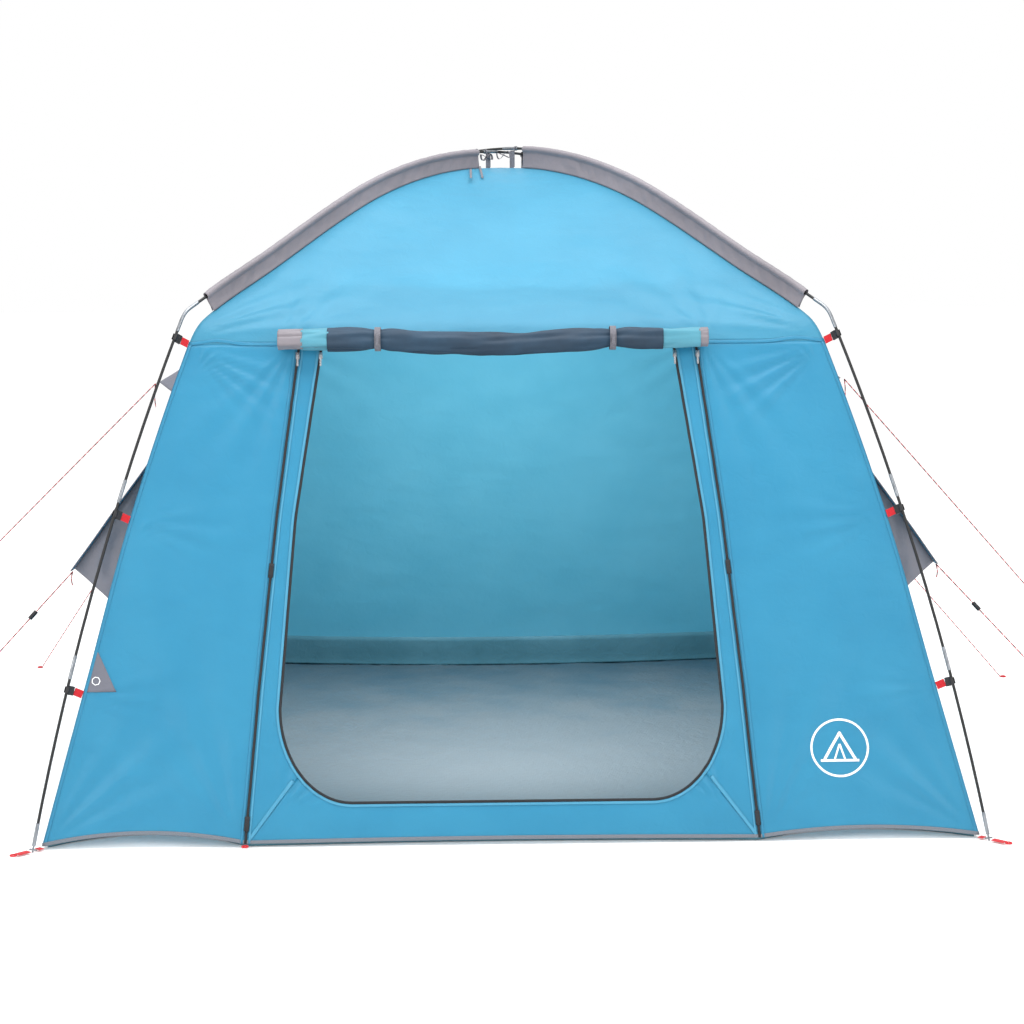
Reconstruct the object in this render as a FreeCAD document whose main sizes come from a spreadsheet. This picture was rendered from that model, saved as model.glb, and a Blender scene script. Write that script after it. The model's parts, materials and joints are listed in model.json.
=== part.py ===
"""Cabin dome tent, about 3 x 3 m: fabric shell hung under two crossed shock-corded poles.

Millimetres.  +Z up, the origin on the ground under the crown, the door in the -Y side.
Every side of the shell is the same panel outline, turned about the Z axis, so the panels meet
on the two diagonal planes.  The poles stand in those planes, outside the shell.
"""
import FreeCAD, Part
import math
import os
from FreeCAD import Placement, Rotation, Vector

# name, value, what it is.  Spreads are measured from the centre along X (and equally along Y).
SIZES = [
    ("foot_spread", 1508, "centre to a pole foot"),
    ("shoulder_spread", 1075, "centre to the lower end of an elbow"),
    ("shoulder_height", 1610, "ground to the lower end of an elbow"),
    ("leg_bow", 46, "how far a leg bows outwards of its chord"),
    ("crown_height", 2234, "ground to the pole crossing"),
    ("crown_radius", 1750, "bend of the poles over the roof"),
    ("pole_diameter", 9.5, "fibreglass rod, outside"),
    ("pole_bore", 5.4, "fibreglass rod, inside"),
    ("elastic_diameter", 3, "shock cord inside the rods"),
    ("elastic_gap", 2, "shock cord short of the rod ends"),
    ("ferrule_wall", 1, "steel tube over the rod joints"),
    ("ferrule_length", 76, "steel tube over the rod joints"),
    ("joint_gap", 0.5, "between rod ends in a ferrule"),
    ("low_joint_height", 565, "lower ferrule centre"),
    ("high_joint_height", 1106, "upper ferrule centre"),
    ("roof_rod_length", 545, "roof rods, between ferrule centres"),
    ("crown_joint_offset", 55, "crown ferrule centre, beside the crossing"),
    ("elbow_leg", 68, "elbow corner to its lower end"),
    ("elbow_reach", 62, "elbow corner to its upper end"),
    ("elbow_bend", 90, "bend radius of an elbow"),
    ("rod_in_elbow", 26, "rod pushed into each end of an elbow"),
    ("tip_length", 72, "steel tip over the rod end"),
    ("rod_in_tip", 50, "rod pushed into a steel tip"),
    ("pin_length", 20, "pin below the steel tip"),
    ("pin_diameter", 6, "pin below the steel tip"),
    ("cloth", 2, "thickness of the shell"),
    ("leg_gap", 48, "pole to shell corner, level, above the hem"),
    ("foot_gap", 24, "pole to shell corner, level, at the hem"),
    ("hem_height", 12, "binding along the lower edge"),
    ("hem_thickness", 4, "binding along the lower edge"),
    ("hem_clearance", 2, "ground to the binding"),
    ("low_clip_height", 470, "lowest clip strap on the shell"),
    ("mid_clip_height", 1010, "middle clip strap on the shell"),
    ("eave_height", 1565, "seam between walls and roof"),
    ("sleeve_depth", 58, "pole line to roof ridge, square to the pole"),
    ("sleeve_bore", 16, "tunnel that holds the pole"),
    ("sleeve_cloth", 2, "thickness of the sleeve"),
    ("sleeve_crown_gap", 120, "crossing to the end of a sleeve, along the pole"),
    ("sleeve_start", 118, "elbow corner to the start of a sleeve"),
    ("skirt_gap", 0.1, "sleeve skirt to its tunnel"),
    ("seam_gap", 1.5, "clearance between sleeve skirt and ridge"),
    ("tub_height", 140, "side of the waterproof floor tub"),
    ("tub_gap", 9, "between wall and tub side"),
    ("door_shift", -32, "door centre, along X"),
    ("zip_half_base", 814, "outer zips, half distance at the hem"),
    ("zip_half_low", 776, "outer zips, half distance at the low clips"),
    ("zip_half_mid", 721, "outer zips, half distance at the middle clips"),
    ("zip_half_eave", 650, "outer zips, half distance at the eave"),
    ("zip_width", 8, "teeth and tape edge of a zip"),
    ("door_half_low", 711, "doorway, half width at its widest"),
    ("door_half_mid", 664, "doorway, half width at the middle clips"),
    ("door_half_top", 580, "doorway, half width at the top"),
    ("door_sill", 128, "ground to the lower edge of the doorway"),
    ("door_corner", 235, "size of the lower corners of the doorway"),
    ("door_widest", 422, "ground to the widest level of the doorway"),
    ("door_top", 1550, "ground to the top of the doorway"),
    ("roll_radius", 37, "rolled mesh door"),
    ("core_radius", 30, "rolled cloth door inside the mesh"),
    ("roll_height", 1580, "centre of the rolled door"),
    ("roll_half", 547, "rolled mesh, half length"),
    ("roll_shift", -41, "rolled mesh centre, along X"),
    ("roll_gap", 5, "between rolled door and wall"),
    ("cuff_left", 85, "blue end of the roll, left"),
    ("cuff_right", 122, "blue end of the roll, right"),
    ("hem_left", 75, "grey end of the roll, left"),
    ("hem_right", 26, "grey end of the roll, right"),
    ("tie_spread", 383, "door ties, from the roll centre"),
    ("tie_width", 20, "door tie band"),
    ("tie_cloth", 2, "door tie band"),
    ("toggle_diameter", 11, "toggle on a door tie"),
    ("toggle_length", 34, "toggle on a door tie"),
    ("toggle_gap", 1, "toggle to the tie band"),
    ("slider_drop", 40, "zip slider, below the eave"),
    ("slider_width", 12, "zip slider"),
    ("slider_depth", 6, "zip slider"),
    ("slider_length", 22, "zip slider"),
    ("ear_rim", 2, "ear material above and below the axle"),
    ("ear_root", 1, "ear let into the slider"),
    ("ear_depth", 5, "ears that hold the pull"),
    ("ear_width", 1.6, "ears that hold the pull"),
    ("axle_diameter", 2, "pull axle"),
    ("running_gap", 0.25, "clearance of the pulls, runners and sliders"),
    ("pull_width", 6, "zip pull"),
    ("pull_length", 38, "zip pull"),
    ("pull_thickness", 1.6, "zip pull"),
    ("webbing", 25, "strap width"),
    ("strap_thickness", 2, "strap thickness"),
    ("clip_length", 20, "clip, along the pole"),
    ("clip_wall", 4, "clip hook round the pole"),
    ("clip_arm", 16, "clip, from its hook to the strap bar"),
    ("clip_drop", 26, "clip above its strap's seam point"),
    ("clip_margin", 2, "clip bar wider than the strap, each side"),
    ("clip_root", 2, "clip arm let into its hook"),
    ("strap_gap", 3, "strap to the end of its clip and to the shell's corner"),
    ("clip_mouth", 7, "opening of the clip hook"),
    ("ring_diameter", 26, "steel ring under a pole foot"),
    ("ring_wire", 3, "steel ring under a pole foot"),
    ("ring_gap", 1.5, "foot ring to the corner straps"),
    ("corner_strap_length", 92, "corner strap, from the shell outwards"),
    ("corner_strap_height", 6, "corner strap, above the ground"),
    ("loop_height", 7, "centre of a webbing loop, above the ground"),
    ("loop_gap", 0.5, "webbing loop to the strap that it is sewn to"),
    ("loop_diameter", 24, "webbing loop for a peg"),
    ("loop_thickness", 5, "webbing loop for a peg"),
    ("tab_height", 46, "black tab across an outer zip"),
    ("tab_width", 15, "black tab across an outer zip"),
    ("tab_thickness", 3, "black tab across an outer zip"),
    ("tab_low_height", 72, "lower tab, above the ground"),
    ("tab_high_height", 850, "upper tab, above the ground"),
    ("window_sill", 640, "side window, lower edge"),
    ("window_top", 1205, "side window, upper edge"),
    ("window_half", 690, "side window, half width"),
    ("vent_sill", 1340, "side vent, lower edge"),
    ("vent_top", 1500, "side vent, upper edge"),
    ("vent_half", 190, "side vent, half width"),
    ("mesh_gap", 0.4, "between a mesh panel and its frame"),
    ("awning_height", 1250, "awning hinge line"),
    ("awning_clear", 10, "awning hinge line to wall"),
    ("awning_shift", -8, "awning centre, along the wall"),
    ("awning_bead", 5, "rolled seam along the hinge line"),
    ("awning_width", 1470, "awning, along the wall"),
    ("awning_length", 592, "awning, hinge to lip"),
    ("awning_angle", 36.5, "awning, from vertical, degrees"),
    ("awning_cloth", 2, "awning thickness"),
    ("gusset_foot", 610, "gusset, lowest point on the wall"),
    ("gusset_gap", 4, "gusset to awning and wall"),
    ("gusset_drop", 30, "gusset top, below the hinge line"),
    ("gusset_lip", 8, "gusset short of the awning's lip"),
    ("hood_half", 290, "vent hood, half width at its upper edge"),
    ("hood_foot_half", 270, "vent hood, half width at its lower edge"),
    ("hood_top", 1540, "vent hood, upper edge on the wall"),
    ("hood_foot", 1290, "vent hood, lower edge on the wall"),
    ("hood_reach", 190, "vent hood tip, outwards of the wall"),
    ("hood_tip_height", 1382, "vent hood tip"),
    ("hood_cloth", 4, "vent hood thickness"),
    ("rope_diameter", 4, "guy rope"),
    ("runner_length", 34, "guy rope runner"),
    ("runner_width", 13, "guy rope runner"),
    ("runner_depth", 8, "guy rope runner"),
    ("rope_loop", 26, "loop at a rope's ground end"),
    ("rope_loop_thickness", 5, "loop at a rope's ground end"),
    ("crown_strap_spread", 45, "crown straps, beside the crossing"),
    ("crown_strap_width", 22, "grey straps from the roof to the poles"),
    ("ribbon_width", 8, "ribbon tied round the crossing"),
    ("ribbon_cloth", 1.5, "ribbon thickness"),
    ("ribbon_gap", 1, "ribbon to pole and straps"),
    ("ribbon_tail", 150, "ribbon end that lies down the roof"),
    ("tail_spread", 116, "ribbon end, sideways from the crossing"),
    ("patch_width", 96, "cable port patch"),
    ("patch_height", 122, "cable port patch"),
    ("patch_thickness", 3, "cable port patch"),
    ("patch_rise", 8, "cable port patch, above the low clips and in from the corner"),
    ("badge_diameter", 190, "round printed badge"),
    ("badge_thickness", 1, "round printed badge"),
    ("badge_spread", 1047, "badge centre, along X"),
    ("badge_height", 283, "badge centre, above the ground"),
]

# Hand-laid routes of the taut guy ropes: (side, name, points from the shell to the ground).
ROPES = [
    ("left_near", [(-1506, -732, 768), (-1862, -920, 379), (-2200, -1100, 3)]),
    ("left_far", [(-1506, 716, 768), (-1795, 1032, 381), (-2067, 1337, 3)]),
    ("right_near", [(1506, -732, 768), (1862, -920, 379), (2200, -1100, 3)]),
    ("right_far", [(1506, 716, 768), (1863, 826, 381), (2203, 932, 3)]),
    ("left_vent", [(-1314, 0, 1372), (-2016, -31, 682), (-2700, -60, 3)]),
    ("right_vent", [(1314, 0, 1372), (1941, 51, 682), (2550, 100, 3)]),
]
RUNNER_FROM_TOP = 0.18
VENT_RUNNER_FROM_TOP = 0.80

doc = FreeCAD.newDocument("cabin_dome_tent")
sheet = doc.addObject("Spreadsheet::Sheet", "sizes")
for row, (alias, value, meaning) in enumerate(SIZES, start=1):
    sheet.set("A%d" % row, alias)
    sheet.set("B%d" % row, str(value))
    sheet.setAlias("B%d" % row, alias)
    sheet.set("C%d" % row, meaning)
doc.recompute()

parts = []
DIAGONAL = math.sqrt(2)
UP = Vector(0, 0, 1)
CORNERS = (45, 135, 225, 315)


def size(alias):
    """A driving size from the sheet."""
    return float(sheet.get(alias))


def bind(item, **formulas):
    """Ties properties of an object to the sheet; @name stands for a cell."""
    for name, formula in formulas.items():
        item.setExpression(name, formula.replace("@", "sizes."))
    return item


def keep(item, label):
    """Registers a finished sub-part under the name of its file."""
    item.Label = label
    parts.append(item)
    return item


def feature(name, shape):
    """A document object for a shape that primitives and sketches can't give."""
    item = doc.addObject("Part::Feature", name)
    item.Shape = shape
    return item


def group(label, members):
    """Separate solids of one kind, kept together as one sub-part."""
    compound = doc.addObject("Part::Compound", label)
    compound.Links = members
    return keep(compound, label)


def turned(shape, degrees):
    """A copy of a shape, turned about the Z axis."""
    copy = shape.copy()
    copy.rotate(Vector(0, 0, 0), UP, degrees)
    return copy


def polygon(points):
    return Part.Face(Part.makePolygon(points + points[:1]))


# ---------------------------------------------------------------- lines of the structure
# Pole lines are drawn in the XZ plane, X being the distance from the centre along a diagonal.
def circle_through(low, high, bow):
    """Centre and radius of the arc from low to high that bows outwards (to +X)."""
    chord = high - low
    radius = (chord.Length**2 / 4 + bow**2) / (2 * bow)
    middle = (low + high) / 2
    outwards = Vector(chord.z, 0, -chord.x).normalize()
    return middle + outwards * (bow - radius), radius


foot = Vector(size("foot_spread") * DIAGONAL, 0, size("pin_diameter") / 2)
shoulder = Vector(size("shoulder_spread") * DIAGONAL, 0, size("shoulder_height"))
leg_centre, leg_radius = circle_through(foot, shoulder, size("leg_bow"))


def leg_point(height):
    """Point of a leg at a height."""
    rise = height - leg_centre.z
    return Vector(leg_centre.x + math.sqrt(leg_radius**2 - rise**2), 0, height)


def leg_tangent(point):
    """Direction up along a leg."""
    out = (point - leg_centre).normalize()
    return Vector(-out.z, 0, out.x)


elbow = shoulder + leg_tangent(shoulder) * size("elbow_leg")


def crown_line(drop, lift=0):
    """Centre, radius, and the point where the straight stretch from the elbow meets the roof arc.

    drop moves the line inwards, square to it, and lift raises the arc's centre.
    """
    centre = Vector(0, 0, size("crown_height") - size("crown_radius") + lift)
    reach = elbow - centre
    tilt = math.acos(size("crown_radius") / reach.Length)
    out = Vector(reach.x, 0, reach.z).normalize()
    square = Vector(
        out.x * math.cos(tilt) - out.z * math.sin(tilt),
        0,
        out.x * math.sin(tilt) + out.z * math.cos(tilt),
    )
    return centre, size("crown_radius") - drop, centre + square * (size("crown_radius") - drop), square


def half_path(lift):
    """Edges of half a pole, from the crossing out and down to the foot, as point lists."""
    centre, radius, touch, square = crown_line(0, lift)
    to_roof = (touch - elbow).normalize()
    to_leg = -leg_tangent(shoulder)
    half_turn = (math.pi - to_roof.getAngle(to_leg)) / 2
    setback = size("elbow_bend") * math.tan(half_turn)
    bend_start = elbow + to_roof * setback
    bend_end = elbow + to_leg * setback
    inwards = (to_roof + to_leg).normalize()
    bend_centre = elbow + inwards * (size("elbow_bend") / math.cos(half_turn))
    bend_middle = bend_centre - inwards * size("elbow_bend")
    half_angle = math.atan2(square.x, square.z) / 2
    crown = centre + UP * radius
    crown_middle = centre + Vector(math.sin(half_angle), 0, math.cos(half_angle)) * radius
    leg_middle = leg_point((shoulder.z + foot.z) / 2)
    return [
        [crown, crown_middle, touch],
        [touch, bend_start],
        [bend_start, bend_middle, bend_end],
        [bend_end, shoulder],
        [shoulder, leg_middle, foot],
    ]


def edge(points):
    if len(points) == 2:
        return Part.LineSegment(*points).toShape()
    return Part.Arc(*points).toShape()


def full_path(lift):
    """Edges of a whole pole, from the foot at -X to the foot at +X."""
    right = half_path(lift)
    left = [[Vector(-p.x, 0, p.z) for p in reversed(run)] for run in reversed(right)]
    return [edge(run) for run in left + right]


def stretch(edges, start, end):
    """The part of a path between two distances along it."""
    made = []
    passed = 0
    for item in edges:
        first = max(start - passed, 0)
        last = min(end - passed, item.Length)
        if last - first > 0.01:
            low = item.getParameterByLength(first)
            high = item.getParameterByLength(last)
            made.append(item.Curve.toShape(low, high))
        passed += item.Length
    return Part.Wire(made)


def rod_round(path, diameter):
    """A solid rod along a path."""
    first = path.OrderedEdges[0]
    start = path.OrderedVertexes[0].Point
    along = first.tangentAt(first.FirstParameter)
    ring = Part.Wire(Part.Circle(start, along, diameter / 2).toShape())
    return path.makePipeShell([ring], True, False)


def tube(path, outer, inner):
    """A hollow rod along a path."""
    return rod_round(path, outer).cut(rod_round(path, inner))


def shell_spread(height):
    """Spread of the shell's corner at a height of the wall."""
    gap = size("leg_gap") if height > size("hem_height") else size("foot_gap")
    return leg_point(height).x / DIAGONAL - gap


def wall_spread(height):
    """Spread of a wall at any height, between the levels where it is held out."""
    levels = wall_levels
    for (low_u, low_z), (high_u, high_z) in zip(levels, levels[1:]):
        if height <= high_z:
            break
    share = (height - low_z) / (high_z - low_z)
    return low_u + (high_u - low_u) * share


wall_levels = [
    (shell_spread(size(alias)), size(alias))
    for alias in ("hem_height", "low_clip_height", "mid_clip_height", "eave_height")
]


def roof_profile(drop, steps):
    """Spread and height of the roof's ridge line, from the shoulder break up to the crown."""
    centre, radius, touch, square = crown_line(drop)
    touch_angle = math.atan2(square.x, square.z)
    straight = Vector(square.z, 0, -square.x)
    outer_reach = (elbow - touch).dot(straight) - size("elbow_reach")
    shoulder_break = touch + straight * outer_reach
    halfway = touch + straight * (outer_reach / 2)
    points = [shoulder_break, halfway]
    for step in range(steps):
        angle = touch_angle * (1 - step / steps)
        points.append(centre + Vector(math.sin(angle), 0, math.cos(angle)) * radius)
    profile = [(p.x / DIAGONAL, p.z) for p in points]
    return profile + [(0, centre.z + radius)]


ROOF_STEPS = 4
outer_roof = [wall_levels[-1]] + roof_profile(size("sleeve_depth"), ROOF_STEPS)
eave_inner = (wall_levels[-1][0] - size("cloth"), wall_levels[-1][1])
inner_roof = [eave_inner] + roof_profile(size("sleeve_depth") + size("cloth"), ROOF_STEPS)
inner_walls = [(u - size("cloth"), z) for u, z in wall_levels]


def side_panel(outer, inner):
    """The -Y side of a shell with four like sides, between an outer and an inner profile."""
    def left(level):
        return Vector(-level[0], -level[0], level[1])

    def right(level):
        return Vector(level[0], -level[0], level[1])

    def band(low, high):
        corners = [left(low), right(low), right(high), left(high)]
        return polygon(corners[:3] if high[0] == 0 else corners)

    faces = [band(low, high) for low, high in zip(outer, outer[1:])]
    faces += [band(low, high) for low, high in zip(inner, inner[1:])]
    outline = outer + inner[::-1]
    faces.append(polygon([left(level) for level in outline]))
    faces.append(polygon([right(level) for level in outline]))
    ends = [(outer[0], inner[0])]
    if outer[-1][0] > 0:
        ends.append((outer[-1], inner[-1]))
    for first, second in ends:
        faces.append(polygon([left(first), right(first), right(second), left(second)]))
    shell = Part.makeShell(faces)
    shell.sewShape()
    solid = Part.makeSolid(shell)
    if solid.Volume < 0:
        solid.reverse()
    return solid


SIDES = {"front": 0, "right": 90, "back": 180, "left": 270}

# ---------------------------------------------------------------- front wall and doorway
FAR = 2000


def front_prism(points):
    """Everything behind an outline that is drawn on the front, in X and Z."""
    face = polygon([Vector(x, -FAR, z) for x, z in points])
    return face.extrude(Vector(0, FAR, 0))


def zip_line(side):
    """Corners of an outer zip's centre line, from the ground to the eave."""
    halves = [size("zip_half_" + level) for level in ("base", "low", "mid", "eave")]
    heights = [0, size("low_clip_height"), size("mid_clip_height"), size("eave_height")]
    return [(size("door_shift") + side * half, z) for half, z in zip(halves, heights)]


def beside(line, shift):
    return [(x + shift, z) for x, z in line]


def door_outline(inset):
    """The D of the doorway, inset by a distance."""
    shift = size("door_shift")
    sill = size("door_sill") + inset
    corner = size("door_corner")
    low = size("door_half_low") - inset
    mid = size("door_half_mid") - inset
    top = size("door_half_top") - inset
    head = size("door_top") - inset
    widest = size("door_widest")

    def at(x, z):
        return Vector(shift + x, -FAR, z)

    diagonal = corner * (1 - 1 / DIAGONAL)
    runs = [
        [at(-top, head), at(-mid, size("mid_clip_height"))],
        [at(-mid, size("mid_clip_height")), at(-low, widest)],
        [at(-low, widest), at(-low + diagonal, sill + diagonal), at(-low + corner, sill)],
        [at(-low + corner, sill), at(low - corner, sill)],
        [at(low - corner, sill), at(low - diagonal, sill + diagonal), at(low, widest)],
        [at(low, widest), at(mid, size("mid_clip_height"))],
        [at(mid, size("mid_clip_height")), at(top, head)],
        [at(top, head), at(-top, head)],
    ]
    face = Part.Face(Part.Wire([edge(run) for run in runs]))
    return face.extrude(Vector(0, FAR, 0))


half_zip = size("zip_width") / 2
front_blank = side_panel(wall_levels, inner_walls)
left_zip = zip_line(-1)
right_zip = zip_line(1)
far_left = [(-FAR, size("eave_height")), (-FAR, 0)]
far_right = [(FAR, size("eave_height")), (FAR, 0)]
left_region = front_prism(beside(left_zip, -half_zip) + far_left)
right_region = front_prism(beside(right_zip, half_zip) + far_right)
middle_region = front_prism(beside(left_zip, half_zip) + beside(right_zip, -half_zip)[::-1])
zip_strips = [
    front_prism(beside(line, -half_zip) + beside(line, half_zip)[::-1])
    for line in (left_zip, right_zip)
]
doorway = door_outline(0)
zip_ring = doorway.cut(door_outline(size("zip_width")))

blank = feature("front_blank", front_blank)


def common(name, first, second):
    item = doc.addObject("Part::Common", name)
    item.Base = first
    item.Tool = second
    return item


def cut(name, first, second):
    item = doc.addObject("Part::Cut", name)
    item.Base = first
    item.Tool = second
    return item


def fuse(name, members):
    item = doc.addObject("Part::MultiFuse", name)
    item.Shapes = members
    return item


keep(common("front_left_cut", blank, feature("left_region", left_region)), "front_wall_left")
keep(common("front_right_cut", blank, feature("right_region", right_region)), "front_wall_right")
middle = common("middle_cut", blank, feature("middle_region", middle_region))
keep(cut("surround_cut", middle, feature("doorway", doorway)), "door_surround")
keep(common("door_zip_cut", blank, feature("zip_ring", zip_ring)), "door_zip")


def wall_frame(x, height):
    """Placement on the front wall's outer face: local X along the wall, -Y outwards, Z up it."""
    step = 5
    below = Vector(x, -wall_spread(height - step), height - step)
    above = Vector(x, -wall_spread(height + step), height + step)
    up = (above - below).normalize()
    along = Vector(1, 0, 0)
    return Placement((above + below) / 2, Rotation(along, up.cross(along), up, "ZXY"))


def box(name, **formulas):
    return bind(doc.addObject("Part::Box", name), **formulas)


def cylinder(name, **formulas):
    return bind(doc.addObject("Part::Cylinder", name), **formulas)


def zip_x(side, height):
    """Where an outer zip's centre line is at a height."""
    line = zip_line(side)
    for (low_x, low_z), (high_x, high_z) in zip(line, line[1:]):
        if height <= high_z:
            break
    return low_x + (high_x - low_x) * (height - low_z) / (high_z - low_z)


def door_x(side, height):
    """Where the door zip's straight upper run is at a height."""
    inset = size("zip_width") / 2
    share = (height - size("mid_clip_height")) / (size("door_top") - size("mid_clip_height"))
    half = size("door_half_mid") + (size("door_half_top") - size("door_half_mid")) * share
    return size("door_shift") + side * (half - inset)


def zip_tab(name, x, height):
    """A black webbing tab across an outer zip."""
    tab = box(name, Length="@tab_width", Width="@tab_thickness", Height="@tab_height")
    outwards = size("tab_thickness") + size("running_gap")
    corner = Vector(-size("tab_width") / 2, -outwards, -size("tab_height") / 2)
    local = Placement(corner, Rotation())
    tab.Placement = wall_frame(x, height).multiply(local)
    return tab


TAB_HEIGHTS = (size("tab_low_height"), size("tab_high_height"))
zip_pieces = [
    common("outer_zip_%d" % n, blank, feature("zip_strip_%d" % n, strip))
    for n, strip in enumerate(zip_strips)
]
for n, side in enumerate((-1, 1)):
    for m, height in enumerate(TAB_HEIGHTS):
        zip_pieces.append(zip_tab("zip_tab_%d_%d" % (n, m), zip_x(side, height), height))
group("outer_zips", zip_pieces)

# ---------------------------------------------------------------- other walls, roof and floor
WINDOWS = [
    ("window", "window_sill", "window_top", "window_half"),
    ("vent", "vent_sill", "vent_top", "vent_half"),
]


def side_opening(sill, top, half, inset):
    """A block through the front wall, where a side wall has an opening before it is turned."""
    low = size(sill) + inset
    high = size(top) - inset
    width = size(half) - inset
    return front_prism([(-width, low), (width, low), (width, high), (-width, high)])


meshes = []
for side, degrees in SIDES.items():
    if side == "back":
        keep(feature("back_panel", turned(front_blank, degrees)), "back_wall")
    if side in ("left", "right"):
        wall = feature(side + "_blank", turned(front_blank, degrees))
        holes = []
        for name, sill, top, half in WINDOWS:
            opening = side_opening(sill, top, half, 0)
            holes.append(feature("%s_%s_hole" % (side, name), turned(opening, degrees)))
            mesh = front_blank.common(side_opening(sill, top, half, size("mesh_gap")))
            meshes.append(feature("%s_%s_mesh" % (side, name), turned(mesh, degrees)))
        keep(cut(side + "_cut", wall, fuse(side + "_holes", holes)), side + "_wall")
    roof = side_panel(outer_roof, inner_roof)
    keep(feature(side + "_roof", turned(roof, degrees)), "roof_" + side)
group("window_and_vent_mesh", meshes)

hem_levels = [(wall_levels[0][0], size("hem_clearance")), (wall_levels[0][0], size("hem_height"))]
hem_inner = [(u - size("hem_thickness"), z) for u, z in hem_levels]
hem = side_panel(hem_levels, hem_inner)
group(
    "hem_binding",
    [feature("hem_" + side, turned(hem, degrees)) for side, degrees in SIDES.items()],
)

tub_floor = wall_levels[0][0] - size("hem_thickness") - size("running_gap")
tub_side_length = "%.3f" % (2 * tub_floor)
sheet_box = box("groundsheet_box", Length=tub_side_length, Width=tub_side_length, Height="@cloth")
sheet_box.Placement = Placement(Vector(-tub_floor, -tub_floor, 0), Rotation())
tub_levels = [
    (tub_floor, size("cloth")),
    (wall_spread(size("tub_height")) - size("cloth") - size("tub_gap"), size("tub_height")),
]
tub_inner = [(u - size("cloth"), z) for u, z in tub_levels]
tub_side = side_panel(tub_levels, tub_inner)
group(
    "floor_tub",
    [sheet_box]
    + [feature("tub_" + side, turned(tub_side, degrees)) for side, degrees in SIDES.items()],
)

# ---------------------------------------------------------------- poles
pole_radius = size("pole_diameter") / 2
sleeve_outer = size("sleeve_bore") + 2 * size("sleeve_cloth")
ferrule_outer = size("pole_diameter") + 2 * size("ferrule_wall")


def leg_length(height):
    """Length of a leg from its foot up to a height, along the pole."""
    up = math.asin((height - leg_centre.z) / leg_radius)
    down = math.asin((foot.z - leg_centre.z) / leg_radius)
    return leg_radius * (up - down)


def pole_marks(lift):
    """Distances along a pole from its first foot: joints, elbow corner, crossing, whole length."""
    edges = full_path(lift)
    whole = sum(item.Length for item in edges)
    leg = leg_length(shoulder.z)
    bend = edges[2].Length
    corner = leg + edges[1].Length + bend / 2
    return edges, whole, corner


def tip_solid(rod_start):
    """The steel tip of the foot at +X: a capped tube with a round-ended pin."""
    pin = size("pin_diameter") / 2
    cap = ferrule_outer / 2
    bore = size("pole_diameter") / 2
    shoulder_step = size("pin_length") + size("ferrule_wall")
    top = size("tip_length") + size("pin_length")
    corners = [(pin, size("pin_length")), (cap, shoulder_step), (cap, top), (bore, top)]
    corners.append((bore, rod_start))
    outline = [
        [Vector(0, 0, 0), Vector(pin / DIAGONAL, 0, pin - pin / DIAGONAL), Vector(pin, 0, pin)],
        [Vector(pin, 0, pin), Vector(corners[0][0], 0, corners[0][1])],
    ]
    for (low_x, low_z), (high_x, high_z) in zip(corners, corners[1:]):
        outline.append([Vector(low_x, 0, low_z), Vector(high_x, 0, high_z)])
    outline.append([Vector(bore, 0, rod_start), Vector(0, 0, rod_start)])
    outline.append([Vector(0, 0, rod_start), Vector(0, 0, 0)])
    face = Part.Face(Part.Wire([edge(run) for run in outline]))
    solid = face.revolve(Vector(0, 0, 0), UP, 360)
    along = leg_tangent(foot)
    solid.Placement = Placement(foot - along * pin, Rotation(UP, along))
    return solid


def pole(name, degrees, lift):
    """All the pieces of one pole, in the XZ plane, then turned to its diagonal."""
    edges, whole, corner = pole_marks(lift)
    middle = whole / 2
    tip_top = size("tip_length") + size("pin_length")
    rod_start = tip_top - size("rod_in_tip")
    low_joint = leg_length(size("low_joint_height"))
    high_joint = leg_length(size("high_joint_height"))
    below_elbow = corner - size("elbow_leg")
    above_elbow = corner + size("elbow_reach")
    crown_joint = middle - size("crown_joint_offset")
    roof_rod = size("roof_rod_length")
    gap = size("joint_gap") / 2
    joints = [low_joint, high_joint]
    joints += [middle - 2 * roof_rod, middle - roof_rod, crown_joint]
    joints += [middle + roof_rod, middle + 2 * roof_rod]
    joints += [whole - high_joint, whole - low_joint]
    starts = [rod_start, low_joint, high_joint, above_elbow - size("rod_in_elbow")]
    starts += joints[2:7]
    starts += [whole - below_elbow - size("rod_in_elbow"), whole - high_joint, whole - low_joint]
    ends = [low_joint, high_joint, below_elbow + size("rod_in_elbow")]
    ends += joints[2:7]
    ends += [whole - above_elbow + size("rod_in_elbow"), whole - high_joint, whole - low_joint]
    ends += [whole - rod_start]
    rods = []
    for n, (start, end) in enumerate(zip(starts, ends)):
        path = stretch(edges, start + gap, end - gap)
        rod = tube(path, size("pole_diameter"), size("pole_bore"))
        rods.append(feature("%s_rod_%d" % (name, n), turned(rod, degrees)))
    half_ferrule = size("ferrule_length") / 2
    ferrules = []
    for n, joint in enumerate(joints):
        path = stretch(edges, joint - half_ferrule, joint + half_ferrule)
        sleeve = tube(path, ferrule_outer, size("pole_diameter"))
        ferrules.append(feature("%s_ferrule_%d" % (name, n), turned(sleeve, degrees)))
    elbows = []
    for n, (start, end) in enumerate(
        [(below_elbow, above_elbow), (whole - above_elbow, whole - below_elbow)]
    ):
        path = stretch(edges, start, end)
        bend = tube(path, ferrule_outer, size("pole_diameter"))
        elbows.append(feature("%s_elbow_%d" % (name, n), turned(bend, degrees)))
    tips = []
    for n in range(2):
        tip = turned(tip_solid(rod_start), 180 * n)
        tips.append(feature("%s_tip_%d" % (name, n), turned(tip, degrees)))
    elastic_start = rod_start + size("elastic_gap")
    elastic_path = stretch(edges, elastic_start, whole - elastic_start)
    elastic = rod_round(elastic_path, size("elastic_diameter"))
    cord = feature(name + "_elastic", turned(elastic, degrees))
    return rods, ferrules, elbows, tips, cord


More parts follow.
